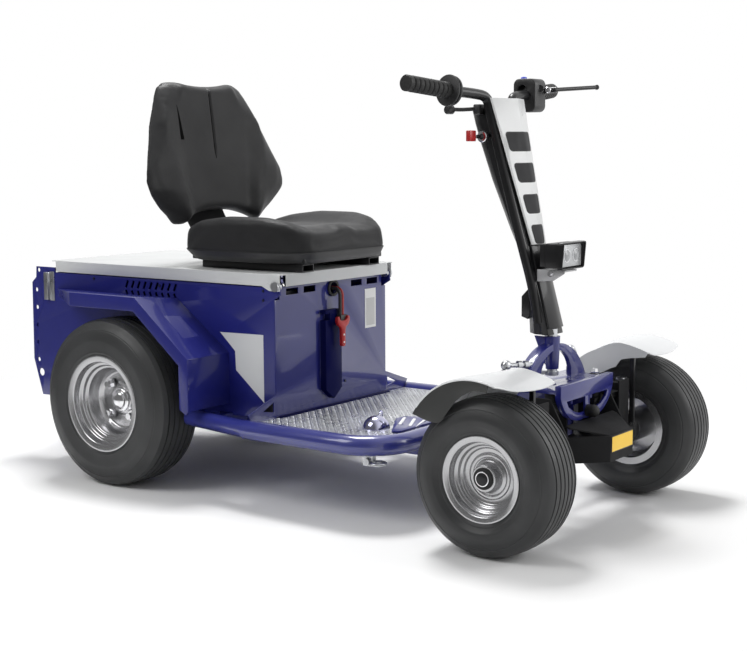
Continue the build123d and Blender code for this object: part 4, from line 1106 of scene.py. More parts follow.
# ---------------------------------------------------------------- mudguards
@dataclass
class Mudguard:
    """A front mudguard: pale curved top with a dark outer skirt."""

    side: Side
    centre: Pair = (FRONT_X - 0.012, 0.203)
    radius: float = 157.0
    inner: float = 218.0
    outer: float = 393.0
    start: float = 54.0
    end: float = 163.0
    steps: int = 56
    flange: tuple[Pair, ...] = (
        (56.0, 8.0), (66.0, 20.0), (83.0, 36.0), (89.0, 54.0), (118.0, 52.0), (160.0, 6.0),
    )
    flange_parts: tuple[float, ...] = (1.0, 0.66, 0.33, 0.08)
    top_shares: tuple[float, ...] = (0.0, 0.02, 0.06, 0.14, 0.26, 0.4, 0.55, 0.7, 0.82, 0.9, 0.95, 0.985, 1.0)
    skirt_parts: tuple[float, ...] = (0.0, 0.15, 0.35, 0.6, 0.85, 1.0)
    fall: float = 12.0

    def front_at(self, share: float) -> float:
        """The angle of the front edge at a share of the way from the inner to the outer edge."""
        corner = max(0.0, (share - 0.84) / 0.16)
        inner = max(0.0, (0.06 - share) / 0.06)
        return self.start + 6 * share - 5 * math.sin(math.pi * share) + 9 * corner**2.5 + 5 * inner**2

    def rear_at(self, share: float) -> float:
        """The angle of the rear edge at a share of the way across."""
        corner = max(0.0, (share - 0.8) / 0.2)
        return self.end - 12 * share - 6 * corner**2.5

    def angle_at(self, share: float, t: float) -> float:
        """The angle at a share of the way across and a share of the way from the rear to the front."""
        return self.rear_at(share) + (self.front_at(share) - self.rear_at(share)) * t

    def spot(self, angle: float, across: float, drop: float) -> Point:
        """A point on the guard.

        Args:
            angle: degrees round the guard's centre.
            across: distance from the vehicle's middle in mm.
            drop: how far inside the guard's radius in mm.

        Returns:
            The point in metres.
        """
        r = (self.radius - drop) * MM
        x = self.centre[0] + r * math.cos(math.radians(angle))
        z = self.centre[1] + r * math.sin(math.radians(angle)) + 0.008 * max(0.0, (78 - angle) / 24) ** 2
        return (x, self.side.value * across * MM, z)

    def top(self) -> Mesh:
        """The pale skin, fallen towards the inside, with a flange down its inner edge."""
        rows: list[list[Point]] = []
        for step in range(self.steps + 1):
            t = step / self.steps
            angle = self.angle_at(0.0, t)
            depth = table(self.flange, angle)
            sunk = 1.5 + self.fall * (1 - ease(-angle, -112.0, -84.0))
            row = [self.spot(angle, self.inner, sunk + depth * part) for part in self.flange_parts]
            for share in self.top_shares:
                turn = self.angle_at(share, t)
                fall = self.fall * (1 - ease(share, 0.0, 0.75)) * (1 - ease(-turn, -112.0, -84.0))
                edge = 3.0 * max(0.0, (share - 0.97) / 0.03)
                row.append(self.spot(turn, self.inner + (self.outer - self.inner) * share, fall + edge))
            rows.append(row)
        return walled(sheet_mesh(rows), 2.0, self.outward)

    def skirt(self) -> Mesh:
        """The dark skirt under the outer edge, rounded at its rear end."""
        rows: list[list[Point]] = []
        for step in range(self.steps + 1):
            t = step / self.steps
            angle = self.angle_at(1.0, t) + 6
            depth = 58 - 34 * t + 8 * math.sin(t * math.pi * 1.7)
            depth *= max(0.12, math.sqrt(1 - (1 - min(1.0, t / 0.2)) ** 2))
            spots = [(self.outer - 1.0 - 3.5 * part**2, 3.2 + depth * part) for part in self.skirt_parts]
            rows.append([self.spot(angle, *spot) for spot in spots])
        return walled(sheet_mesh(rows), 2.4, self.outward)

    def rim(self) -> Mesh:
        """The pale bead that caps the skirt."""
        turns = [math.pi * turn / 4 for turn in range(8)]
        ring = [(self.outer - 1.6 + 1.6 * math.cos(turn), 3.0 - 1.8 * math.sin(turn)) for turn in turns]
        angles = [self.angle_at(1.0, step / self.steps) for step in range(self.steps + 1)]
        rows = [[self.spot(angle, *spot) for spot in ring] for angle in angles]
        return smooth(filled(sheet_mesh(rows, closed=True)), 60)

    def outward(self, spot: Vector) -> Vector:
        """The direction away from the guard's middle."""
        return spot - Vector((self.centre[0], self.side.value * self.inner * MM, self.centre[1]))

    def build(self) -> None:
        """Makes the top, the skirt and the bead."""
        word = self.side.word
        body = f"knuckle_body_{word}"
        piece(f"guard_top_{word}", self.top(), WHITE, body, "light_paint", (f"mudguard_{word}",))
        piece(f"guard_side_{word}", self.skirt(), SKIRT, body, "dark_plastic", (f"guard_skirt_{word}",))
        piece(f"guard_bead_{word}", self.rim(), WHITE, body, "light_paint")


# ---------------------------------------------------------------- seat
@dataclass
class Seat:
    """Padded seat cushion, its shell, and the winged backrest."""

    front_x: float = 91.0
    rear_x: float = -304.0
    shell_z: Pair = (535.5, 561.0)
    half: tuple[Pair, ...] = (
        (-304.0, 128.0), (-296.0, 158.0), (-272.0, 186.0), (-220.0, 202.0), (-80.0, 204.0), (10.0, 192.0),
        (58.0, 172.0), (82.0, 152.0), (91.0, 132.0),
    )
    crest: tuple[Pair, ...] = (
        (-304.0, 602.0), (-270.0, 616.0), (-220.0, 628.0), (-137.0, 638.0), (-30.0, 638.0), (25.0, 630.0),
        (62.0, 619.0), (91.0, 608.0),
    )
    dish: tuple[Pair, ...] = ((-304.0, 600.0), (-250.0, 607.0), (-50.0, 610.0), (20.0, 614.0), (91.0, 606.0))
    skirt_rings: tuple[Pair, ...] = (
        (100.0, 549.0), (14.0, 549.0), (7.0, 552.0), (5.0, 560.0), (4.0, 566.0), (4.5, 576.0), (5.0, 584.0),
    )
    edge_rings: tuple[Pair, ...] = (
        (5.5, 13.0), (7.5, 7.5), (11.0, 3.6), (16.0, 1.4), (24.0, 0.4), (36.0, 0.0), (50.0, 0.0),
        (64.0, 0.0), (80.0, 0.0), (100.0, 0.0), (125.0, 0.0), (155.0, 0.0), (185.0, 0.0), (196.0, 0.0),
    )
    voxel: float = 5.0
    foot_z: float = 612.0
    back_height: float = 352.0
    foot_x: float = -313.0
    lean: float = 0.128
    back_thick: float = 54.0
    back_round: float = 19.0
    back_half: tuple[Pair, ...] = (
        (612.0, 156.0), (634.0, 178.0), (652.0, 203.0), (677.0, 230.0), (698.0, 247.0), (718.0, 252.0),
        (748.0, 247.0), (800.0, 225.0), (856.0, 201.0), (900.0, 178.0), (930.0, 163.0), (950.0, 150.0),
        (960.0, 128.0),
    )
    ridge_y: tuple[Pair, ...] = (
        (612.0, 128.0), (650.0, 137.0), (697.0, 143.0), (722.0, 155.0), (759.0, 166.0), (815.0, 175.0),
        (868.0, 170.0), (915.0, 148.0), (958.0, 112.0),
    )
    ridge_rise: tuple[Pair, ...] = (
        (612.0, 8.0), (650.0, 17.0), (697.0, 19.0), (722.0, 17.0), (759.0, 17.0), (815.0, 11.0),
        (868.0, 5.0), (915.0, -7.0), (958.0, -15.0),
    )
    crease: tuple[Pair, ...] = (
        (612.0, 92.0), (697.0, 98.0), (795.0, 100.0), (868.0, 106.0), (905.0, 106.0), (958.0, 84.0),
    )
    sweep: tuple[Pair, ...] = (
        (612.0, -29.0), (650.0, -17.0), (677.0, -8.0), (700.0, 0.0), (748.0, -1.0), (800.0, -12.0),
        (856.0, -24.0), (927.0, -33.0), (960.0, -37.0),
    )

    def plan(self, shrink: float, count: int = 128) -> list[Pair]:
        """The seat's outline seen from above, drawn in by a distance in mm."""
        line = [*self.half, *((x, -y) for x, y in reversed(self.half))]
        for _ in range(3):
            cut = []
            for (ax, ay), (bx, by) in zip(line, line[1:] + line[:1]):
                cut.append((0.75 * ax + 0.25 * bx, 0.75 * ay + 0.25 * by))
                cut.append((0.25 * ax + 0.75 * bx, 0.25 * ay + 0.75 * by))
            line = cut
        middle = (self.front_x + self.rear_x) / 2
        step = len(line) / count
        picked = [line[int(index * step)] for index in range(count)]
        scale_x = 1 - shrink / ((self.front_x - self.rear_x) / 2)
        scale_y = 1 - shrink / 204.0
        return [(middle + (x - middle) * scale_x, y * scale_y) for x, y in picked]

    def top(self, x: float, y: float) -> float:
        """The cushion's height over a point: a dish between raised sides, with a hump at the front."""
        bolster = ease(abs(y), 88.0, 168.0)
        height = table(self.dish, x) * (1 - bolster) + table(self.crest, x) * bolster
        return height + 11 * math.exp(-((y / 30) ** 2)) * ease(x, -10.0, 70.0)

    def cushion(self) -> None:
        """The seat cushion, swollen over its dished shape."""
        rows = [[at(x, y, z) for x, y in self.plan(shrink)] for shrink, z in self.skirt_rings]
        for shrink, drop in self.edge_rings:
            rows.append([at(x, y, self.top(x, y) - drop) for x, y in self.plan(shrink)])
        mesh = filled(sheet_mesh(rows, closed=True))
        pad = padded(remeshed(mesh, self.voxel), 4.0, 0.5625)
        thing = piece("cushion_pad", pad, VINYL, "seat_lid", "vinyl", ("seat_cushion",))

    def shell(self) -> None:
        """The dark moulded shell that the cushion sits in."""
        low, high = self.shell_z
        rings = [(40.0, low + 0.5), (18.0, low), (12.0, low + 3), (8.0, low + 13), (4.6, high - 4)]
        rings += [(3.6, high - 2), (3.8, high), (6.0, high), (7.0, high - 3), (11.0, low + 14.5)]
        rings += [(16.5, low + 14.0), (40.0, low + 14.0)]
        rows: list[list[Point]] = []
        for shrink, z in rings:
            tuck = 24 * max(0.0, 1 - (z - low) / 20)
            rows.append([at(x + tuck * ease(-x, 200, 304), y, z) for x, y in self.plan(shrink)])
        mesh = smooth(sheet_mesh([*rows, rows[0]], closed=True), 50)
        piece("seat_shell", mesh, SHELL, "seat_lid", "dark_plastic")

    def strut(self) -> None:
        """The steel pan and the strut that carries the backrest, close behind the cushion."""
        corners = [(-250.0, 541.0), (-322.0, 543.0), (-344.0, 590.0), (-381.0, 645.0), (-388.0, 690.0)]
        line = rounded(corners, 22.0, 5)
        rows = [[at(x, y, z) for y in (-68.0, -50.0, 0.0, 50.0, 68.0)] for x, z in line]
        pan = box((-280.0, 70.0), (-150.0, 150.0), (534.3, 547.0), 2.0)
        leaning = Vector((1.0, 0.0, 0.6))
        mesh = joined([pan, walled(sheet_mesh(rows), 9.0, lambda spot: leaning)])
        piece("seat_strut", mesh, BLACK, "seat_lid", "black_paint", ("seat_pan",))

    def face_x(self, z: float) -> float:
        """The backrest's middle face, leaning back with height."""
        return self.foot_x - (z - self.foot_z) * self.lean

    def back_point(self, s: float, v: float, front: bool) -> Point:
        """A point on the backrest.

        Args:
            s: from -1 on the right edge to 1 on the left.
            v: from 0 at the foot to 1 at the top.
            front: whether it lies on the front or the rear face.

        Returns:
            The point in metres.
        """
        nominal = self.foot_z + v * self.back_height
        width = table(self.back_half, nominal)
        y = s * width
        arch = 31 * max(0.0, 1 - (abs(y) / 135) ** 2.6)
        top_dip = -9 * (1 - min(1.0, abs(y) / 96) ** 2)
        z = nominal + (1 - v) ** 1.5 * arch + v**6 * top_dip
        crown = min(table(self.ridge_y, z), 0.86 * width)
        rise = table(self.ridge_rise, z)
        body = self.face_x(z)
        outer = table(self.sweep, z) + 8
        if abs(y) < crown:
            ahead = body + rise * ease(abs(y), min(table(self.crease, z), crown - 20), crown)
        else:
            ahead = body + rise + (outer - rise) * (abs(y) - crown) / (width - crown)
        behind = body - self.back_thick + (outer + 38) * ease(abs(y), 60.0, width)
        middle = (ahead + behind) / 2
        edge = min((1 - abs(s)) * width, v * self.back_height, (1 - v) * self.back_height)
        bulge = math.sqrt(max(0.0, 1 - (1 - min(1.0, edge / self.back_round)) ** 2))
        return at(middle + ((ahead if front else behind) - middle) * bulge, y, z)

    def backrest(self) -> None:
        """The backrest with its wings, centre groove and vent slit; the dark strips in the groove and slit
        are painted shade.
        """
        count = 60
        across = [math.sin(math.pi / 2 * (2 * index / count - 1)) for index in range(count + 1)]
        up = [0.5 - 0.5 * math.cos(math.pi * index / count) for index in range(count + 1)]
        width = count + 1
        points: list[Point] = []
        faces: list[tuple[int, ...]] = []
        for front in (True, False):
            start = len(points)
            points += [self.back_point(s, v, front) for v in up for s in across]
            corners = [start + row * width + index for row in range(count) for index in range(count)]
            faces += [(a, a + 1, a + 1 + width, a + width) for a in corners]
        pad = padded(remeshed(mesh_of(points, faces, "back"), self.voxel), 2.0, 0.0)
        for vert in pad.vertices:
            x, y, z = (number / MM for number in vert.co)
            if x > self.face_x(z) - 20 and 765 < z:
                vert.co.x -= 4.5 * math.exp(-((y / 3.2) ** 2)) * ease(z, 765, 800) * MM
        thing = piece("backrest_pad", smooth(pad, 80), VINYL, "seat_lid", "vinyl", ("backrest",))
        # The groove and slit strips are near-black painted shade.
        groove = self.strip(pad, [(0.0, z) for z in range(775, 942, 8)], 1.0, 1.0)
        slit = self.strip(pad, [(-121.0 + (905 - z) * 0.06, z) for z in range(905, 817, -6)], 0.5, 6.6)
        piece("back_slits", joined([groove, slit]), GAP_SHADE, "seat_lid", "vinyl")

    def strip(self, pad: Mesh, line: list[Pair], start: float, end: float) -> Mesh:
        """A thin dark strip laid on the backrest's face, as painted shade in a groove or slit.

        Args:
            pad: the backrest's mesh.
            line: the strip's (y, z) points in mm.
            start: its half width at its first point.
            end: its half width at its last point.

        Returns:
            The strip's mesh.
        """
        points = [vert.co for vert in pad.vertices]
        tree = BVHTree.FromPolygons(points, [face.vertices for face in pad.polygons])
        rows: list[list[Point]] = []
        for index, (y, z) in enumerate(line):
            half = start + (end - start) * index / (len(line) - 1)
            hits = [tree.ray_cast(Vector(at(200, y + offset, z)), -AHEAD)[0] for offset in (-half, 0.0, half)]
            rows.append([(hit.x + 0.0004, hit.y, hit.z) for hit in hits])
        return walled(sheet_mesh(rows), 1.2)

    def build(self) -> None:
        """Makes the cushion, the shell, the strut and the backrest."""
        self.cushion()
        self.shell()
        self.strut()
        self.backrest()


# ---------------------------------------------------------------- column
def moved(x: float, y: float, z: float) -> Move:
    """A step in mm, the same for every point."""
    step = Vector(at(x, y, z))
    return lambda spot: spot + step


@dataclass
class Column:
    """Handlebar column: folded cover with dark windows, grips, key, lamp and levers."""

    body: str = "steering"
    line: tuple[Pair, ...] = ((400.0, 645.0), (592.0, 593.0), (902.0, 512.0))
    half: tuple[Pair, ...] = ((592.0, 28.0), (902.0, 66.7))
    rise: tuple[Pair, ...] = ((592.0, 5.0), (902.0, 22.0))
    windows: tuple[Pair, ...] = ((790.5, 830.0), (724.5, 764.0), (658.5, 697.5), (594.0, 633.0))
    window_corner: float = 8.0
    window_wall: float = 1.2
    post_gap: float = 5.1
    post_rows: tuple[Point, ...] = (
        (400.0, 580.0, 32.0), (491.0, 575.0, 34.0), (560.0, 556.0, 36.0), (592.0, 545.0, 36.0),
        (621.0, 531.0, 37.0), (728.0, 484.0, 39.0), (814.0, 452.0, 40.0), (850.0, 440.0, 40.0),
        (884.0, 431.0, 40.0),
    )
    fin: tuple[Pair, ...] = ((578.0, 498.0), (559.0, 478.0), (559.0, 434.0), (575.0, 429.0), (586.0, 452.0))
    fin_half: float = 9.0
    bar: tuple[Point, ...] = (
        (456.6, 295.6, 927.7), (478.0, 168.0, 915.0), (490.0, 92.0, 911.0), (495.0, 52.0, 906.0),
        (501.0, 49.0, 880.0), (541.0, 46.0, 728.0), (575.0, 40.0, 600.0), (601.0, 31.0, 500.0),
        (613.0, 29.0, 425.0),
    )
    bar_r: float = 11.0
    bar_foot: Point = (506.5, -1.8, 898.2)
    bar_way: Point = (-22.0, 131.0, 13.0)
    ribs: int = 8
    rib_pitch: float = 13.6
    lamp_x: Pair = (623.0, 684.0)
    lamp_z: Pair = (542.0, 600.0)
    lamp_half: float = 50.0
    lamp_fins: int = 9
    fin_pitch: float = 10.6
    lens_y: float = 19.5

    def cover_point(self, share: float, z: float, proud: float) -> Point:
        """A point over the folded cover.

        Args:
            share: from -1 at its right edge to 1 at its left.
            z: height in mm.
            proud: distance in front of it in mm.

        Returns:
            The point in metres.
        """
        x = table(self.line, z) + table(self.rise, z) * (1 - abs(share)) + proud
        return at(x, share * table(self.half, z), z)

    def post(self) -> None:
        """The black column, narrower at its back, with its small rear fin."""
        rows: list[list[Point]] = []
        for z, rear, half in self.post_rows:
            front = table(self.line, z) - self.post_gap
            deep = front - rear
            ring = [(front, -half), (front - 0.28 * deep, -half), (front - 0.33 * deep, -half + 4.0)]
            ring += [(front - 0.62 * deep, -half + 5.0), (rear + 7.0, -0.42 * half), (rear, -0.24 * half)]
            ring += [(x, -y) for x, y in reversed(ring)]
            rows.append([at(x, y, z) for x, y in ring])
        mesh = filled(sheet_mesh(rows, closed=True))
        fin = slab([at(x, -self.fin_half, z) for x, z in self.fin], at(0.0, 2 * self.fin_half, 0.0))
        whole = joined([bevelled(mesh, 1.6), bevelled(fin, 1.0)])
        piece("column_post", whole, BLACK, self.body, "black_paint", ("column_body",))

    def window(self, low: float, high: float, margin: float, proud: float) -> Mesh:
        """A dark window with round corners, folded over the cover's ridge.

        Args:
            low: the height of its lower edge in mm.
            high: the height of its upper edge in mm.
            margin: from its side edges to the cover's in mm.
            proud: distance in front of the cover in mm.

        Returns:
            The window's mesh.
        """
        rows: list[list[Point]] = []
        steps = 20
        for step in range(steps + 1):
            z = low + (high - low) * (0.5 - 0.5 * math.cos(math.pi * step / steps))
            edge = max(0.0, self.window_corner - min(z - low, high - z))
            cut = self.window_corner - math.sqrt(max(0.0, self.window_corner**2 - edge**2))
            limit = 1 - (margin + cut) / table(self.half, z)
            rows.append([self.cover_point(limit * part, z, proud) for part in (-1.0, -0.5, 0.0, 0.5, 1.0)])
        return walled(sheet_mesh(rows), self.window_wall)

    def cover(self) -> None:
        """The pale cover and its four windows."""
        softened("column_cover", COVER_WHITE, self.body, "white_plastic", 1.2, moved(5, 0, 0))
        frames = [self.window(low - 1.2, high + 1.2, 8.6, 5.5) for low, high in self.windows]
        piece("window_frames", joined(frames), GLOSS_BLACK, self.body, "dark_plastic")
        panes = [self.window(low, high, 9.8, 5.9) for low, high in self.windows]
        piece("window_panes", joined(panes), WINDOW, self.body, "dark_plastic")

    def bar_axis(self, side: Side) -> tuple[Point, Point]:
        """The line of a grip: a point in the middle and its direction."""
        x, y, z = self.bar_foot
        way = self.bar_way
        return at(x, side.value * y, z), (way[0], side.value * way[1], way[2])

    def handlebar(self) -> None:
        """The bent bar: swept grips, a bend over the column and a leg down each side of the post."""
        tubes = [tube([at(x, side.value * y, z) for x, y, z in self.bar], self.bar_r) for side in Side]
        piece("bent_bar", joined(tubes), BLACK, self.body, "black_paint", ("handlebar",))

    def park(self) -> None:
        """The small latch lever under the right grip."""
        arm = tube([at(472, -46, 881), at(452, -80, 878), at(437, -104, 879)], 4.2)
        stay = tube([at(437, -107, 884), at(447, -113, 897), at(468, -126, 912)], 3.4)
        profile = [(0.2, -9.0), (8.0, -9.0), (9.5, -7.0), (9.5, 7.0), (8.0, 9.0), (0.2, 9.0)]
        knob = turned(profile, at(436, -106, 878), (0.3, 1, 0), 24)
        block = box((464.0, 482.0), (-58.0, -38.5), (868.0, 890.0), 3.0)
        whole = joined([arm, stay, knob, block])
        piece("latch_lever", whole, PLASTIC, self.body, "dark_plastic", ("park_lever",))

    def grips(self) -> None:
        """Ribbed rubber grips and the double guard disc."""
        profile = [(11.3, 180.2), (16.2, 180.2), (17.0, 182.0)]
        rib = [(16.9, 0.0), (17.0, 8.6), (16.0, 10.4), (14.6, 11.0), (14.6, 12.4), (16.0, 13.0)]
        for index in range(self.ribs):
            start = 185.0 + index * self.rib_pitch
            profile += [(radius, start + along) for radius, along in rib]
        profile += [(16.6, 296.0), (16.9, 304.5), (15.0, 306.8), (11.0, 307.0), (0.2, 307.0), (0.2, 303.2)]
        profile += [(11.3, 303.2)]
        meshes = [turned(profile, *self.bar_axis(side), 40) for side in Side]
        piece("rubber_grips", joined(meshes), RUBBER, self.body, "rubber", ("grips",))
        disc = [
            (11.3, 160.0), (18.0, 160.0), (19.0, 162.0), (19.0, 164.5), (26.0, 165.5), (31.0, 167.5),
            (31.8, 170.0), (31.0, 172.5), (22.0, 173.5), (20.5, 175.0), (22.0, 176.4), (32.2, 177.0),
            (33.0, 179.0), (32.3, 181.4), (24.0, 182.8), (11.3, 183.0),
        ]
        mesh = turned(disc, *self.bar_axis(Side.RIGHT), 64)
        piece("twin_disc", mesh, PLASTIC, self.body, "dark_plastic", ("guard_disc",))

    def key(self) -> None:
        """The key's plated lock face and its red tag."""
        softened("key_switch", PLASTIC, self.body, "dark_plastic", 0.8, moved(8, 15, 6))
        profile = [(6.2, 20.1), (11.6, 20.1), (12.0, 21.6), (10.4, 22.8), (6.4, 22.8)]
        ring = turned(profile, at(491, -42.7, 821), (0, -1, 0), 32)
        stem = box((483.0, 486.0), (-87.0, -62.8), (817.0, 825.0), 0.6)
        tag = box((480.0, 490.8), (-111.0, -86.0), (811.0, 834.0), 2.0)
        piece("lock_ring", ring, CHROME, self.body, "chrome")
        piece("key_stem", stem, CHROME, self.body, "chrome")
        piece("key_tag", tag, RED, self.body, "dark_plastic")

    def lamp(self) -> None:
        """The headlamp: finned housing, visor, pale face with two lenses, and its bracket."""
        rear, front = self.lamp_x
        low, high = self.lamp_z
        half = self.lamp_half
        shell = box((rear + 14, front - 13), (3.5 - half, half - 3.5), (low + 2.5, high - 2.5), 3.0)
        piece("lamp_housing", joined([shell, self.visor()]), BLACK, self.body, "black_paint", ("headlamp",))
        places = [(index - (self.lamp_fins - 1) / 2) * self.fin_pitch for index in range(self.lamp_fins)]
        fins = [box((rear + 0.5, rear + 15), (y - 1.6, y + 1.6), (low + 6, high - 5), 0.6) for y in places]
        piece("lamp_fins", joined(fins), BLACK, self.body, "black_paint")
        face = box((front - 14, front - 9.5), (6.0 - half, half - 6.0), (low + 5.5, high - 5.5), 1.0)
        piece("lamp_face", face, REFLECTOR, self.body, "chrome")
        feet = [at(front - 9.6, y, (low + high) / 2) for y in (-self.lens_y, self.lens_y)]
        ring = [(12.6, -0.2), (14.0, -0.2), (14.0, 1.0), (12.6, 1.3), (11.8, 0.4), (10.0, 0.1)]
        rings = [turned(ring, foot, (1, 0, 0), 40) for foot in feet]
        piece("lamp_rings", joined(rings), CHROME, self.body, "chrome")
        dome = [(0.2, 0.0), (12.2, 0.0), (11.6, 1.6), (8.6, 3.2), (4.6, 4.2), (0.2, 4.6)]
        lenses = [turned(dome, foot, (1, 0, 0), 40) for foot in feet]
        piece("lamp_lenses", joined(lenses), LENS_GREY, self.body, "chrome")
        self.bracket()

    def bracket(self) -> None:
        """The lamp's grey bracket and its bolt."""
        rear, front = self.lamp_x
        low = self.lamp_z[0]
        plate = box((rear - 14, front - 12), (-30.0, 30.0), (low - 6.0, low - 2.4), 0.8)
        side = [(rear - 12, low - 1.0), (front - 6, low - 1.0), (front - 8, low - 8.0)]
        side += [(front - 34, low - 24.0), (rear - 12, low - 27.0)]
        flange = slab([at(x, -33.5, z) for x, z in side], at(0.0, 2.8, 0.0))
        whole = joined([plate, bevelled(flange, 0.6)])
        piece("lamp_plate", whole, BRACKET, self.body, "steel", ("lamp_bracket",))
        spots = [(at(rear + 20, -33.2, low - 9), (0.0, -1.0, 0.0), (1.0, 0.0, 0.0))]
        fasteners("lamp_bolt", HeadForm.HEX, spots, (5.0, 6.0, 1.0), (CHROME, self.body, "chrome"))

    def visor(self) -> Mesh:
        """The frame round the lamp's face, deeper along its top."""
        front = self.lamp_x[1]
        rear = front - 16
        low, high = self.lamp_z
        half_y, half_z = self.lamp_half, (high - low) / 2
        rings = [(rear, 0.0, 0.0), (front - 3, 0.0, 0.6), (front, 0.8, 1.0)]
        rings += [(front, 2.6, 1.0), (rear + 1, 4.4, 0.0), (rear, 4.4, 0.0)]
        corners = ((-1, -1, 180), (1, -1, 270), (1, 1, 0), (-1, 1, 90))
        rows: list[list[Point]] = []
        for x, inset, lean in rings:
            row: list[Point] = []
            r = max(1.5, 6.0 - inset)
            for corner_y, corner_z, start in corners:
                for turn in range(5):
                    angle = math.radians(start + 22.5 * turn)
                    y = corner_y * (half_y - inset - r) + r * math.cos(angle)
                    z = (low + high) / 2 + corner_z * (half_z - inset - r) + r * math.sin(angle)
                    row.append(at(x - 5.0 * lean * (1 - (z - low) / (high - low)), y, z))
            rows.append(row)
        return smooth(sheet_mesh([*rows, rows[0]], closed=True), 40)

    def controls(self) -> None:
        """Throttle housing, thumb button, brake lever's clamp and adjuster."""
        softened("control_box", PLASTIC, self.body, "dark_plastic", 9.0, moved(20, 0, -1))
        profile = [(0.2, 0.0), (7.0, 0.0), (7.2, 4.0), (6.2, 6.2), (3.0, 7.4), (0.2, 7.6)]
        button = turned(profile, at(470, 147, 947.5), (0, 0, 1), 28)
        piece("blue_button", button, BUTTON, self.body, "dark_plastic")
        profile = [(0.2, 0.0), (9.0, 0.0), (9.6, 1.5), (9.6, 7.0), (8.0, 9.5), (0.2, 9.5)]
        clamp = turned(profile, at(505, 160, 928), (0.45, -1, 0), 28)
        piece("lever_clamp", clamp, PLASTIC, self.body, "dark_plastic")
        profile = [(0.2, 0.0), (3.2, 0.0), (3.2, 7.0), (6.4, 7.4), (6.6, 12.0), (5.6, 13.4), (0.2, 13.6)]
        screw = turned(profile, at(519, 170, 924.5), (0.5, -1, 0), 20)
        piece("lever_screw", screw, CHROME, self.body, "chrome")

    def build(self) -> None:
        """Makes the whole column."""
        softened("lower_cover", BLACK, self.body, "black_paint", 1.4)
        self.post()
        self.cover()
        self.handlebar()
        self.park()
        self.grips()
        self.key()
        self.lamp()
        self.controls()


# ---------------------------------------------------------------- deck
@dataclass
class Deck:
    """Footboard with its raised bars, the slotted pedal plate and the domed switch."""

    top_z: float = 185.0
    x: Pair = (44.0, 374.0)
    half: float = 284.0
    corner: float = 81.0
    pitch: Pair = (11.0, 12.5)
    switch: Pair = (291.0, -178.0)
    switch_room: float = 36.0
    strip_x: Point = (315.0, 342.0, 369.0)
    strip_y: float = -112.0
    strip_turn: float = 117.0
    strip_half: float = 38.6
    strip_r: float = 3.7
    strip_front: float = 376.4

    def inside(self, x: float, y: float) -> bool:
        """Whether a bar fits at a point: on the plate and clear of the pedals."""
        over_x = x - (self.x[1] - self.corner)
        over_y = abs(y) - (self.half - self.corner)
        if over_x > 0 and over_y > 0 and math.hypot(over_x, over_y) > self.corner - 4:
            return False
        return math.hypot(x - self.switch[0], y - self.switch[1]) > self.switch_room

    def bars(self) -> None:
        """Raised bars, turned by turns one way and the other."""
        spots = []
        columns = int((self.x[1] - self.x[0]) / self.pitch[0])
        rows = int(2 * self.half / self.pitch[1])
        for column in range(columns + 1):
            for row in range(rows + 1):
                x = self.x[0] + column * self.pitch[0]
                y = -self.half + row * self.pitch[1]
                if self.inside(x, y):
                    lean = 0.7 if (column + row) % 2 else -0.7
                    spots.append((at(x, y, self.top_z + 0.55), (0.0, 0.0, 1.0), (0.7, lean, 0.0)))
        looks = (ALUMINIUM, "chassis", "tread_plate")
        fasteners("tread_bars", HeadForm.HEX_BAR, spots, (1.9, 1.2, 2.6), looks)

    def strip(self, x: float) -> Mesh:
        """One of the pedal plate's pale strips, with round ends."""
        angle = math.radians(self.strip_turn)
        along = Vector((math.cos(angle), math.sin(angle)))
        side = Vector((-along.y, along.x))
        outline = []
        for turn in range(16):
            beta = 2 * math.pi * turn / 16
            end = self.strip_half if math.cos(beta) >= 0 else -self.strip_half
            spot = Vector((x, self.strip_y)) + along * (end + self.strip_r * math.cos(beta))
            spot += side * self.strip_r * math.sin(beta)
            outline.append(at(min(spot.x, self.strip_front), spot.y, self.top_z + 0.2))
        return slab(outline, at(0.0, 0.0, 8.2))

    def pedals(self) -> None:
        """The blue pedal plate with pale strips, and the plated dome with its rod."""
        plate = bevelled(island("pedals", at(360, -60, 193)), 0.8)
        piece("pedal_plate", plate, BLUE, "chassis", "blue_paint", ("pedals",))
        strips = [self.strip(x) for x in self.strip_x]
        piece("pedal_strips", joined(strips), GRIP_WHITE, "chassis", "light_paint")
        dome = smooth(island("pedals", at(*self.switch, 213)), 50)
        piece("foot_switch", dome, TINTED, "chassis", "chrome")

    def build(self) -> None:
        """Makes the bars and the pedals."""
        self.bars()
        self.pedals()


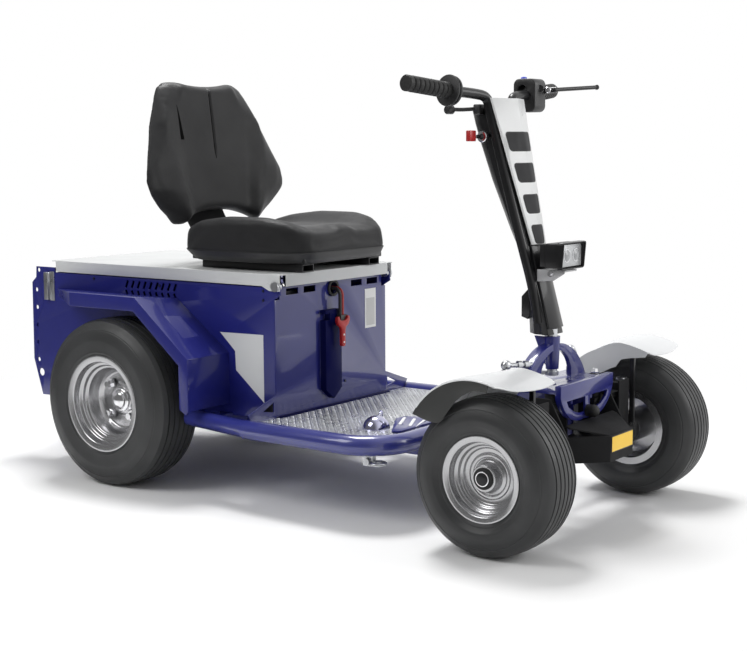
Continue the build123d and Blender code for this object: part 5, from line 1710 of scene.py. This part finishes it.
# ---------------------------------------------------------------- battery box
@dataclass
class BatteryBox:
    """The painted box: softened sheets, side films, label, handle and bolts."""

    side_y: float = 214.0
    front_x: float = 34.0
    film: tuple[Pair, ...] = ((-135, 371.5), (-2, 374), (-2, 216), (-87, 285.5), (-89, 330))
    bolts: tuple[Pair, ...] = ((0.0, 476.0), (0.0, 454.0), (-640.0, 440.0), (-560.0, 476.0), (-330.0, 470.0))
    bolt_size: Point = (3.4, 2.4, 1.0)
    arch_inner_z: float = 0.44
    arch_inner_y: float = 0.225
    label: tuple[Pair, ...] = ((128, 356), (173, 356), (173, 453), (128, 453))
    label_inner: tuple[Pair, ...] = ((133, 362), (168, 362), (168, 430), (133, 430))
    handle_x: float = 52.0
    handle_y: float = -8.0
    handle_top: float = 404.0
    prong: tuple[Pair, ...] = (
        (4.5, -74), (6.5, -71), (6.5, -38), (9, -29), (19, -22), (24, -13), (23, -4), (19, -1), (15.5, -3),
        (14.5, -8), (8, -12.5),
    )

    def lowered(self, spot: Vector) -> Vector:
        """Where a point of the wheel arches goes: the top falls towards the box."""
        if spot.z > self.arch_inner_z and abs(spot.y) < self.arch_inner_y:
            return spot - Vector((0.0, 0.0, 0.013))
        return spot

    def sheets(self) -> None:
        """The box's own sheets with rounded edges."""
        for node, finish, slot_name, width in (
            ("side_panels", BLUE, "blue_paint", 0.7),
            ("front_panel", PANEL, "blue_paint", 0.8),
            ("deck_frame", LIT_TUBE_ENAMEL, "blue_paint", 0.8),
            ("tow_hitch", BLUE, "blue_paint", 1.0),
            ("latches", STEEL, "steel", 0.8),
        ):
            softened(node, finish, "chassis", slot_name, width)
        softened("wheel_arches", BLUE, "chassis", "blue_paint", 1.4, self.lowered)
        softened("lid", LID_WHITE, "seat_lid", "light_paint", 0.7)
        softened("seat_rails", BLACK, "seat_lid", "black_paint", 0.6)

    def marks(self) -> None:
        """Grey films on the sides, a blank label and small bolts."""
        films = []
        spots = []
        for side in Side:
            way = side.value
            outline = [at(x, way * (self.side_y + 0.1), z) for x, z in self.film]
            films.append(slab(outline, at(0.0, way * 0.3, 0.0)))
            for x, z in self.bolts:
                spots.append((at(x, way * self.side_y, z), (0.0, float(way), 0.0), (1.0, 0.0, 0.0)))
        piece("side_films", joined(films), DECAL, "chassis", "light_paint")
        looks = (BLUE_DARK, "chassis", "blue_paint")
        fasteners("side_bolts", HeadForm.ROUND, spots, self.bolt_size, looks)
        for name, outline, proud, thick, finish in (
            ("blank_label", self.label, 0.1, 0.4, LABEL),
            ("label_field", self.label_inner, 0.5, 0.2, LABEL_GREY),
        ):
            corners = [at(self.front_x + proud, y, z) for y, z in outline]
            piece(name, slab(corners, at(thick, 0.0, 0.0)), finish, "chassis", "light_paint")
        dot = [(at(self.front_x, 45, 236), (1.0, 0.0, 0.0), (0.0, 1.0, 0.0))]
        fasteners("panel_bolt", HeadForm.ROUND, dot, self.bolt_size, looks)

    def handle(self) -> None:
        """The battery plug and its red two-pronged handle."""
        x, middle, top = self.handle_x, self.handle_y, self.handle_top
        plug = box((x + 0.1, x + 15.0), (-11.5, 17.0), (top - 26, top), 2.0)
        piece("plug_body", plug, PLASTIC, "chassis", "dark_plastic", ("battery_plug",))
        line = [*self.prong, *((-y, z) for y, z in reversed(self.prong))]
        outline = [at(x + 12.5, middle + y, top + z) for y, z in line]
        grip = bevelled(slab(outline, at(9.0, 0.0, 0.0)), 1.6)
        piece("pull_handle", grip, RED, "chassis", "dark_plastic")
        ahead, across = (1.0, 0.0, 0.0), (0.0, 1.0, 0.0)
        spots = [(at(x + 21.4, middle, top - drop), ahead, across) for drop in (64, 46)]
        fasteners("handle_eyes", HeadForm.ROUND, spots, (2.6, 0.8, 1.0), (LABEL, "chassis", "light_paint"))

    def build(self) -> None:
        """Makes the sheets, the marks and the handle."""
        self.sheets()
        self.marks()
        self.handle()


# ---------------------------------------------------------------- nose
@dataclass
class Nose:
    """Front head, bumper, plate and the fasteners round them."""

    bumper_x: float = 799.0
    cheek_x: float = 0.697
    cheek_z: float = 0.212
    cheek_y: Pair = (0.10, 0.14)
    axle_plates: tuple[Pair, Pair] = ((-206.0, -158.0), (158.0, 206.0))

    def sheets(self) -> None:
        """The painted and black steel with rounded edges."""
        softened("head_bracket", HEAD, "chassis", "blue_paint", 1.2)
        softened("axle_frame", MATT_BLACK, "chassis", "iron", 1.0, self.trimmed)
        ends = [box((709.0, 713.0), limits, (172.0, 284.0), 1.2) for limits in self.axle_plates]
        piece("axle_plates", joined(ends), MATT_BLACK, "chassis", "iron")
        softened("front_bumper", MATT_BLACK, "chassis", "black_paint", 1.6)
        for side in Side:
            softened(f"knuckle_{side.word}", GLOSS_BLACK, f"knuckle_body_{side.word}", "iron", 0.8)

    def trimmed(self, spot: Vector) -> Vector:
        """Where a point of the axle frame goes: the upper cheeks end behind the face plate."""
        low, high = self.cheek_y
        if spot.x > self.cheek_x and spot.z > self.cheek_z and low < abs(spot.y) < high:
            return Vector((self.cheek_x, spot.y, spot.z))
        return spot

    def plate(self) -> None:
        """The blank yellow plate with its dark border."""
        x = self.bumper_x
        rim = box((x + 0.1, x + 1.3), (-49.0, 49.0), (169.0, 204.0), 0.3)
        piece("plate_border", rim, GLOSS_BLACK, "chassis", "black_paint")
        corners = [at(x + 1.3, y, z) for y, z in ((-47, 171), (47, 171), (47, 202), (-47, 202))]
        piece("yellow_face", slab(corners, at(0.4, 0.0, 0.0)), YELLOW, "chassis", "light_paint")

    def bolts(self) -> None:
        """Bolts on the head's base plate."""
        spots = [(at(684, side.value * 97, 309.5), (0.0, 0.0, 1.0), (1.0, 0.0, 0.0)) for side in Side]
        fasteners("base_bolts", HeadForm.HEX, spots, (7.0, 8.0, 1.0), (CHROME, "chassis", "chrome"))

    def build(self) -> None:
        """Makes the nose."""
        self.sheets()
        self.plate()
        self.bolts()


# ---------------------------------------------------------------- studio
@dataclass
class Studio:
    """Camera, lights, floor and background."""

    eye: Point = (2.098, -2.6448, 0.8022)
    heading: float = 126.334
    pitch: float = -7.3135
    roll: float = -0.0056
    lens: float = 67.92
    shift: Pair = (0.00072, 0.00203)
    ambient: float = 0.42
    flag: float = 0.16
    flag_way: Point = (0.60, 0.80, 0.0)
    flag_edge: Pair = (-0.55, 0.25)
    half_floor: float = 14.0
    fade: Pair = (1.15, 1.9)

    def camera(self) -> None:
        """Sets the camera at its standpoint."""
        data = bpy.data.cameras.new("camera")
        data.lens = self.lens
        data.sensor_width = 36.0
        data.shift_x, data.shift_y = self.shift
        data.clip_end = 50.0
        yaw, tilt = math.radians(self.heading), math.radians(self.pitch)
        ahead = Vector((math.cos(tilt) * math.cos(yaw), math.cos(tilt) * math.sin(yaw), math.sin(tilt)))
        right = ahead.cross(Vector((0, 0, 1))).normalized()
        up = right.cross(ahead)
        side = right * math.cos(self.roll) + up * math.sin(self.roll)
        top = up * math.cos(self.roll) - right * math.sin(self.roll)
        frame = Matrix((side, top, -ahead)).transposed().to_4x4()
        frame.translation = Vector(self.eye)
        thing = linked(data, "camera")
        thing.matrix_world = frame
        bpy.context.scene.camera = thing

    def lamp(self, name: str, spot: Point, aim: Point, size: Pair, power: float) -> None:
        """Adds a soft area lamp.

        Args:
            name: the lamp's name.
            spot: where it stands.
            aim: what it points at.
            size: its width and height in metres.
            power: its power in watts.
        """
        data = bpy.data.lights.new(name, "AREA")
        data.shape = "RECTANGLE"
        data.size, data.size_y = size
        data.energy = power
        thing = linked(data, name)
        thing.location = spot
        thing.rotation_euler = (Vector(aim) - Vector(spot)).to_track_quat("-Z", "Y").to_euler()

    def seen(self, tree: bpy.types.NodeTree) -> Socket:
        """A value that is 1 for rays that see the background: camera, glossy and transmission rays."""
        path = wired(tree, "ShaderNodeLightPath", {}).outputs
        total = path["Is Camera Ray"]
        for name in ("Is Glossy Ray", "Is Transmission Ray"):
            total = wired(tree, "ShaderNodeMath", {0: total, 1: path[name]}, operation="MAXIMUM").outputs[0]
        return total

    def flagged(self, tree: bpy.types.NodeTree, place: Socket) -> Socket:
        """White, but grey for reflections on the side where a dark flag stands.

        Args:
            tree: the node tree.
            place: a direction or a position.

        Returns:
            The grey level.
        """
        turn = wired(tree, "ShaderNodeVectorMath", {0: place, 1: self.flag_way}, operation="DOT_PRODUCT")
        edge = {0: turn.outputs["Value"], 1: self.flag_edge[0], 2: self.flag_edge[1], 3: self.flag, 4: 1.0}
        fade = wired(tree, "ShaderNodeMapRange", edge, interpolation_type="SMOOTHSTEP")
        glossy = wired(tree, "ShaderNodeLightPath", {}).outputs["Is Glossy Ray"]
        return wired(tree, "ShaderNodeMix", {0: glossy, 2: 1.0, 3: fade.outputs[0]}).outputs[0]

    def backdrop(self) -> None:
        """White background that lights the tug at a softer level."""
        world = bpy.data.worlds.new("studio")
        bpy.context.scene.world = world
        world.use_nodes = True
        tree = world.node_tree
        ground = tree.nodes["Background"]
        level = wired(tree, "ShaderNodeMapRange", {0: self.seen(tree), 3: self.ambient, 4: 1.0})
        tree.links.new(level.outputs[0], ground.inputs["Strength"])
        way = wired(tree, "ShaderNodeTexCoord", {}).outputs["Generated"]
        tree.links.new(self.flagged(tree, way), ground.inputs["Color"])

    def floor(self) -> None:
        """Plain pale floor that keeps the shadow and fades to white."""
        half = self.half_floor
        corners = [(-half, -half, 0), (half, -half, 0), (half, half, 0), (-half, half, 0)]
        mesh = mesh_of(corners, [(0, 1, 2, 3)])
        thing = linked(mesh, "floor")
        graph = Graph("studio_floor")
        graph.fixed(Roughness=0.9, Specular_IOR_Level=0.0)
        cloud = graph.remap(graph.noise(2.0), 0.3, 0.7, (0.0, 1.0))
        graph.feed("Base Color", graph.blend(cloud, (0.90, 0.90, 0.90), (0.92, 0.92, 0.92)))
        far = graph.add("ShaderNodeVectorMath", {"Vector": graph.place}, operation="LENGTH").outputs["Value"]
        edge = graph.remap(far, *self.fade, (0.0, 1.0))
        weights = {0: edge, 1: self.seen(graph.tree)}
        share = graph.add("ShaderNodeMath", weights, operation="MULTIPLY").outputs[0]
        white = graph.add("ShaderNodeEmission", {"Color": self.flagged(graph.tree, graph.place)}).outputs[0]
        mix = graph.add("ShaderNodeMixShader", {0: share, 1: graph.shader.outputs[0], 2: white}).outputs[0]
        graph.tree.links.new(mix, graph.tree.nodes["Material Output"].inputs["Surface"])
        mesh.materials.append(graph.material)

    def build(self) -> None:
        """Sets up the whole studio."""
        bpy.context.scene.view_settings.view_transform = "Standard"
        self.camera()
        self.backdrop()
        self.floor()
        self.lamp("key", (-1.4, -2.8, 3.0), (0, 0, 0.4), (1.8, 1.8), 52)
        self.lamp("top", (-0.7, 0.5, 3.4), (0.0, 0, 0.2), (1.0, 1.0), 88)
        self.lamp("front", (3.2, 1.6, 1.8), (0.3, 0, 0.4), (2.0, 1.6), 42)


def paint(thing: bpy.types.Object, finish: Finish) -> None:
    """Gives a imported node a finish."""
    if not thing.material_slots:
        thing.data.materials.append(None)
    for place in thing.material_slots:
        place.material = finish.material()


def main() -> None:
    """Loads the tug and dresses it."""
    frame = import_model()
    for form in HeadForm:
        HARDWARE[form] = Scatter(form.value, washer=form is HeadForm.HEX)
    Studio().build()
    for row in frame["record"]["subparts"]:
        paint(bpy.data.objects[row["node"]], NODE_FINISH[row["material_slot"]])
    paint(bpy.data.objects["battery_lead"], LEADS)
    for side in Side:
        FrontWheel(side).build()
        RearWheel(side).build()
        Mudguard(side).build()
    for part in (Seat(), Column(), Deck(), BatteryBox(), Nose()):
        LOG.info("building %s", type(part).__name__)
        part.build()


if __name__ == "__main__":
    logging.basicConfig(level=logging.INFO, format="%(message)s")
    main()
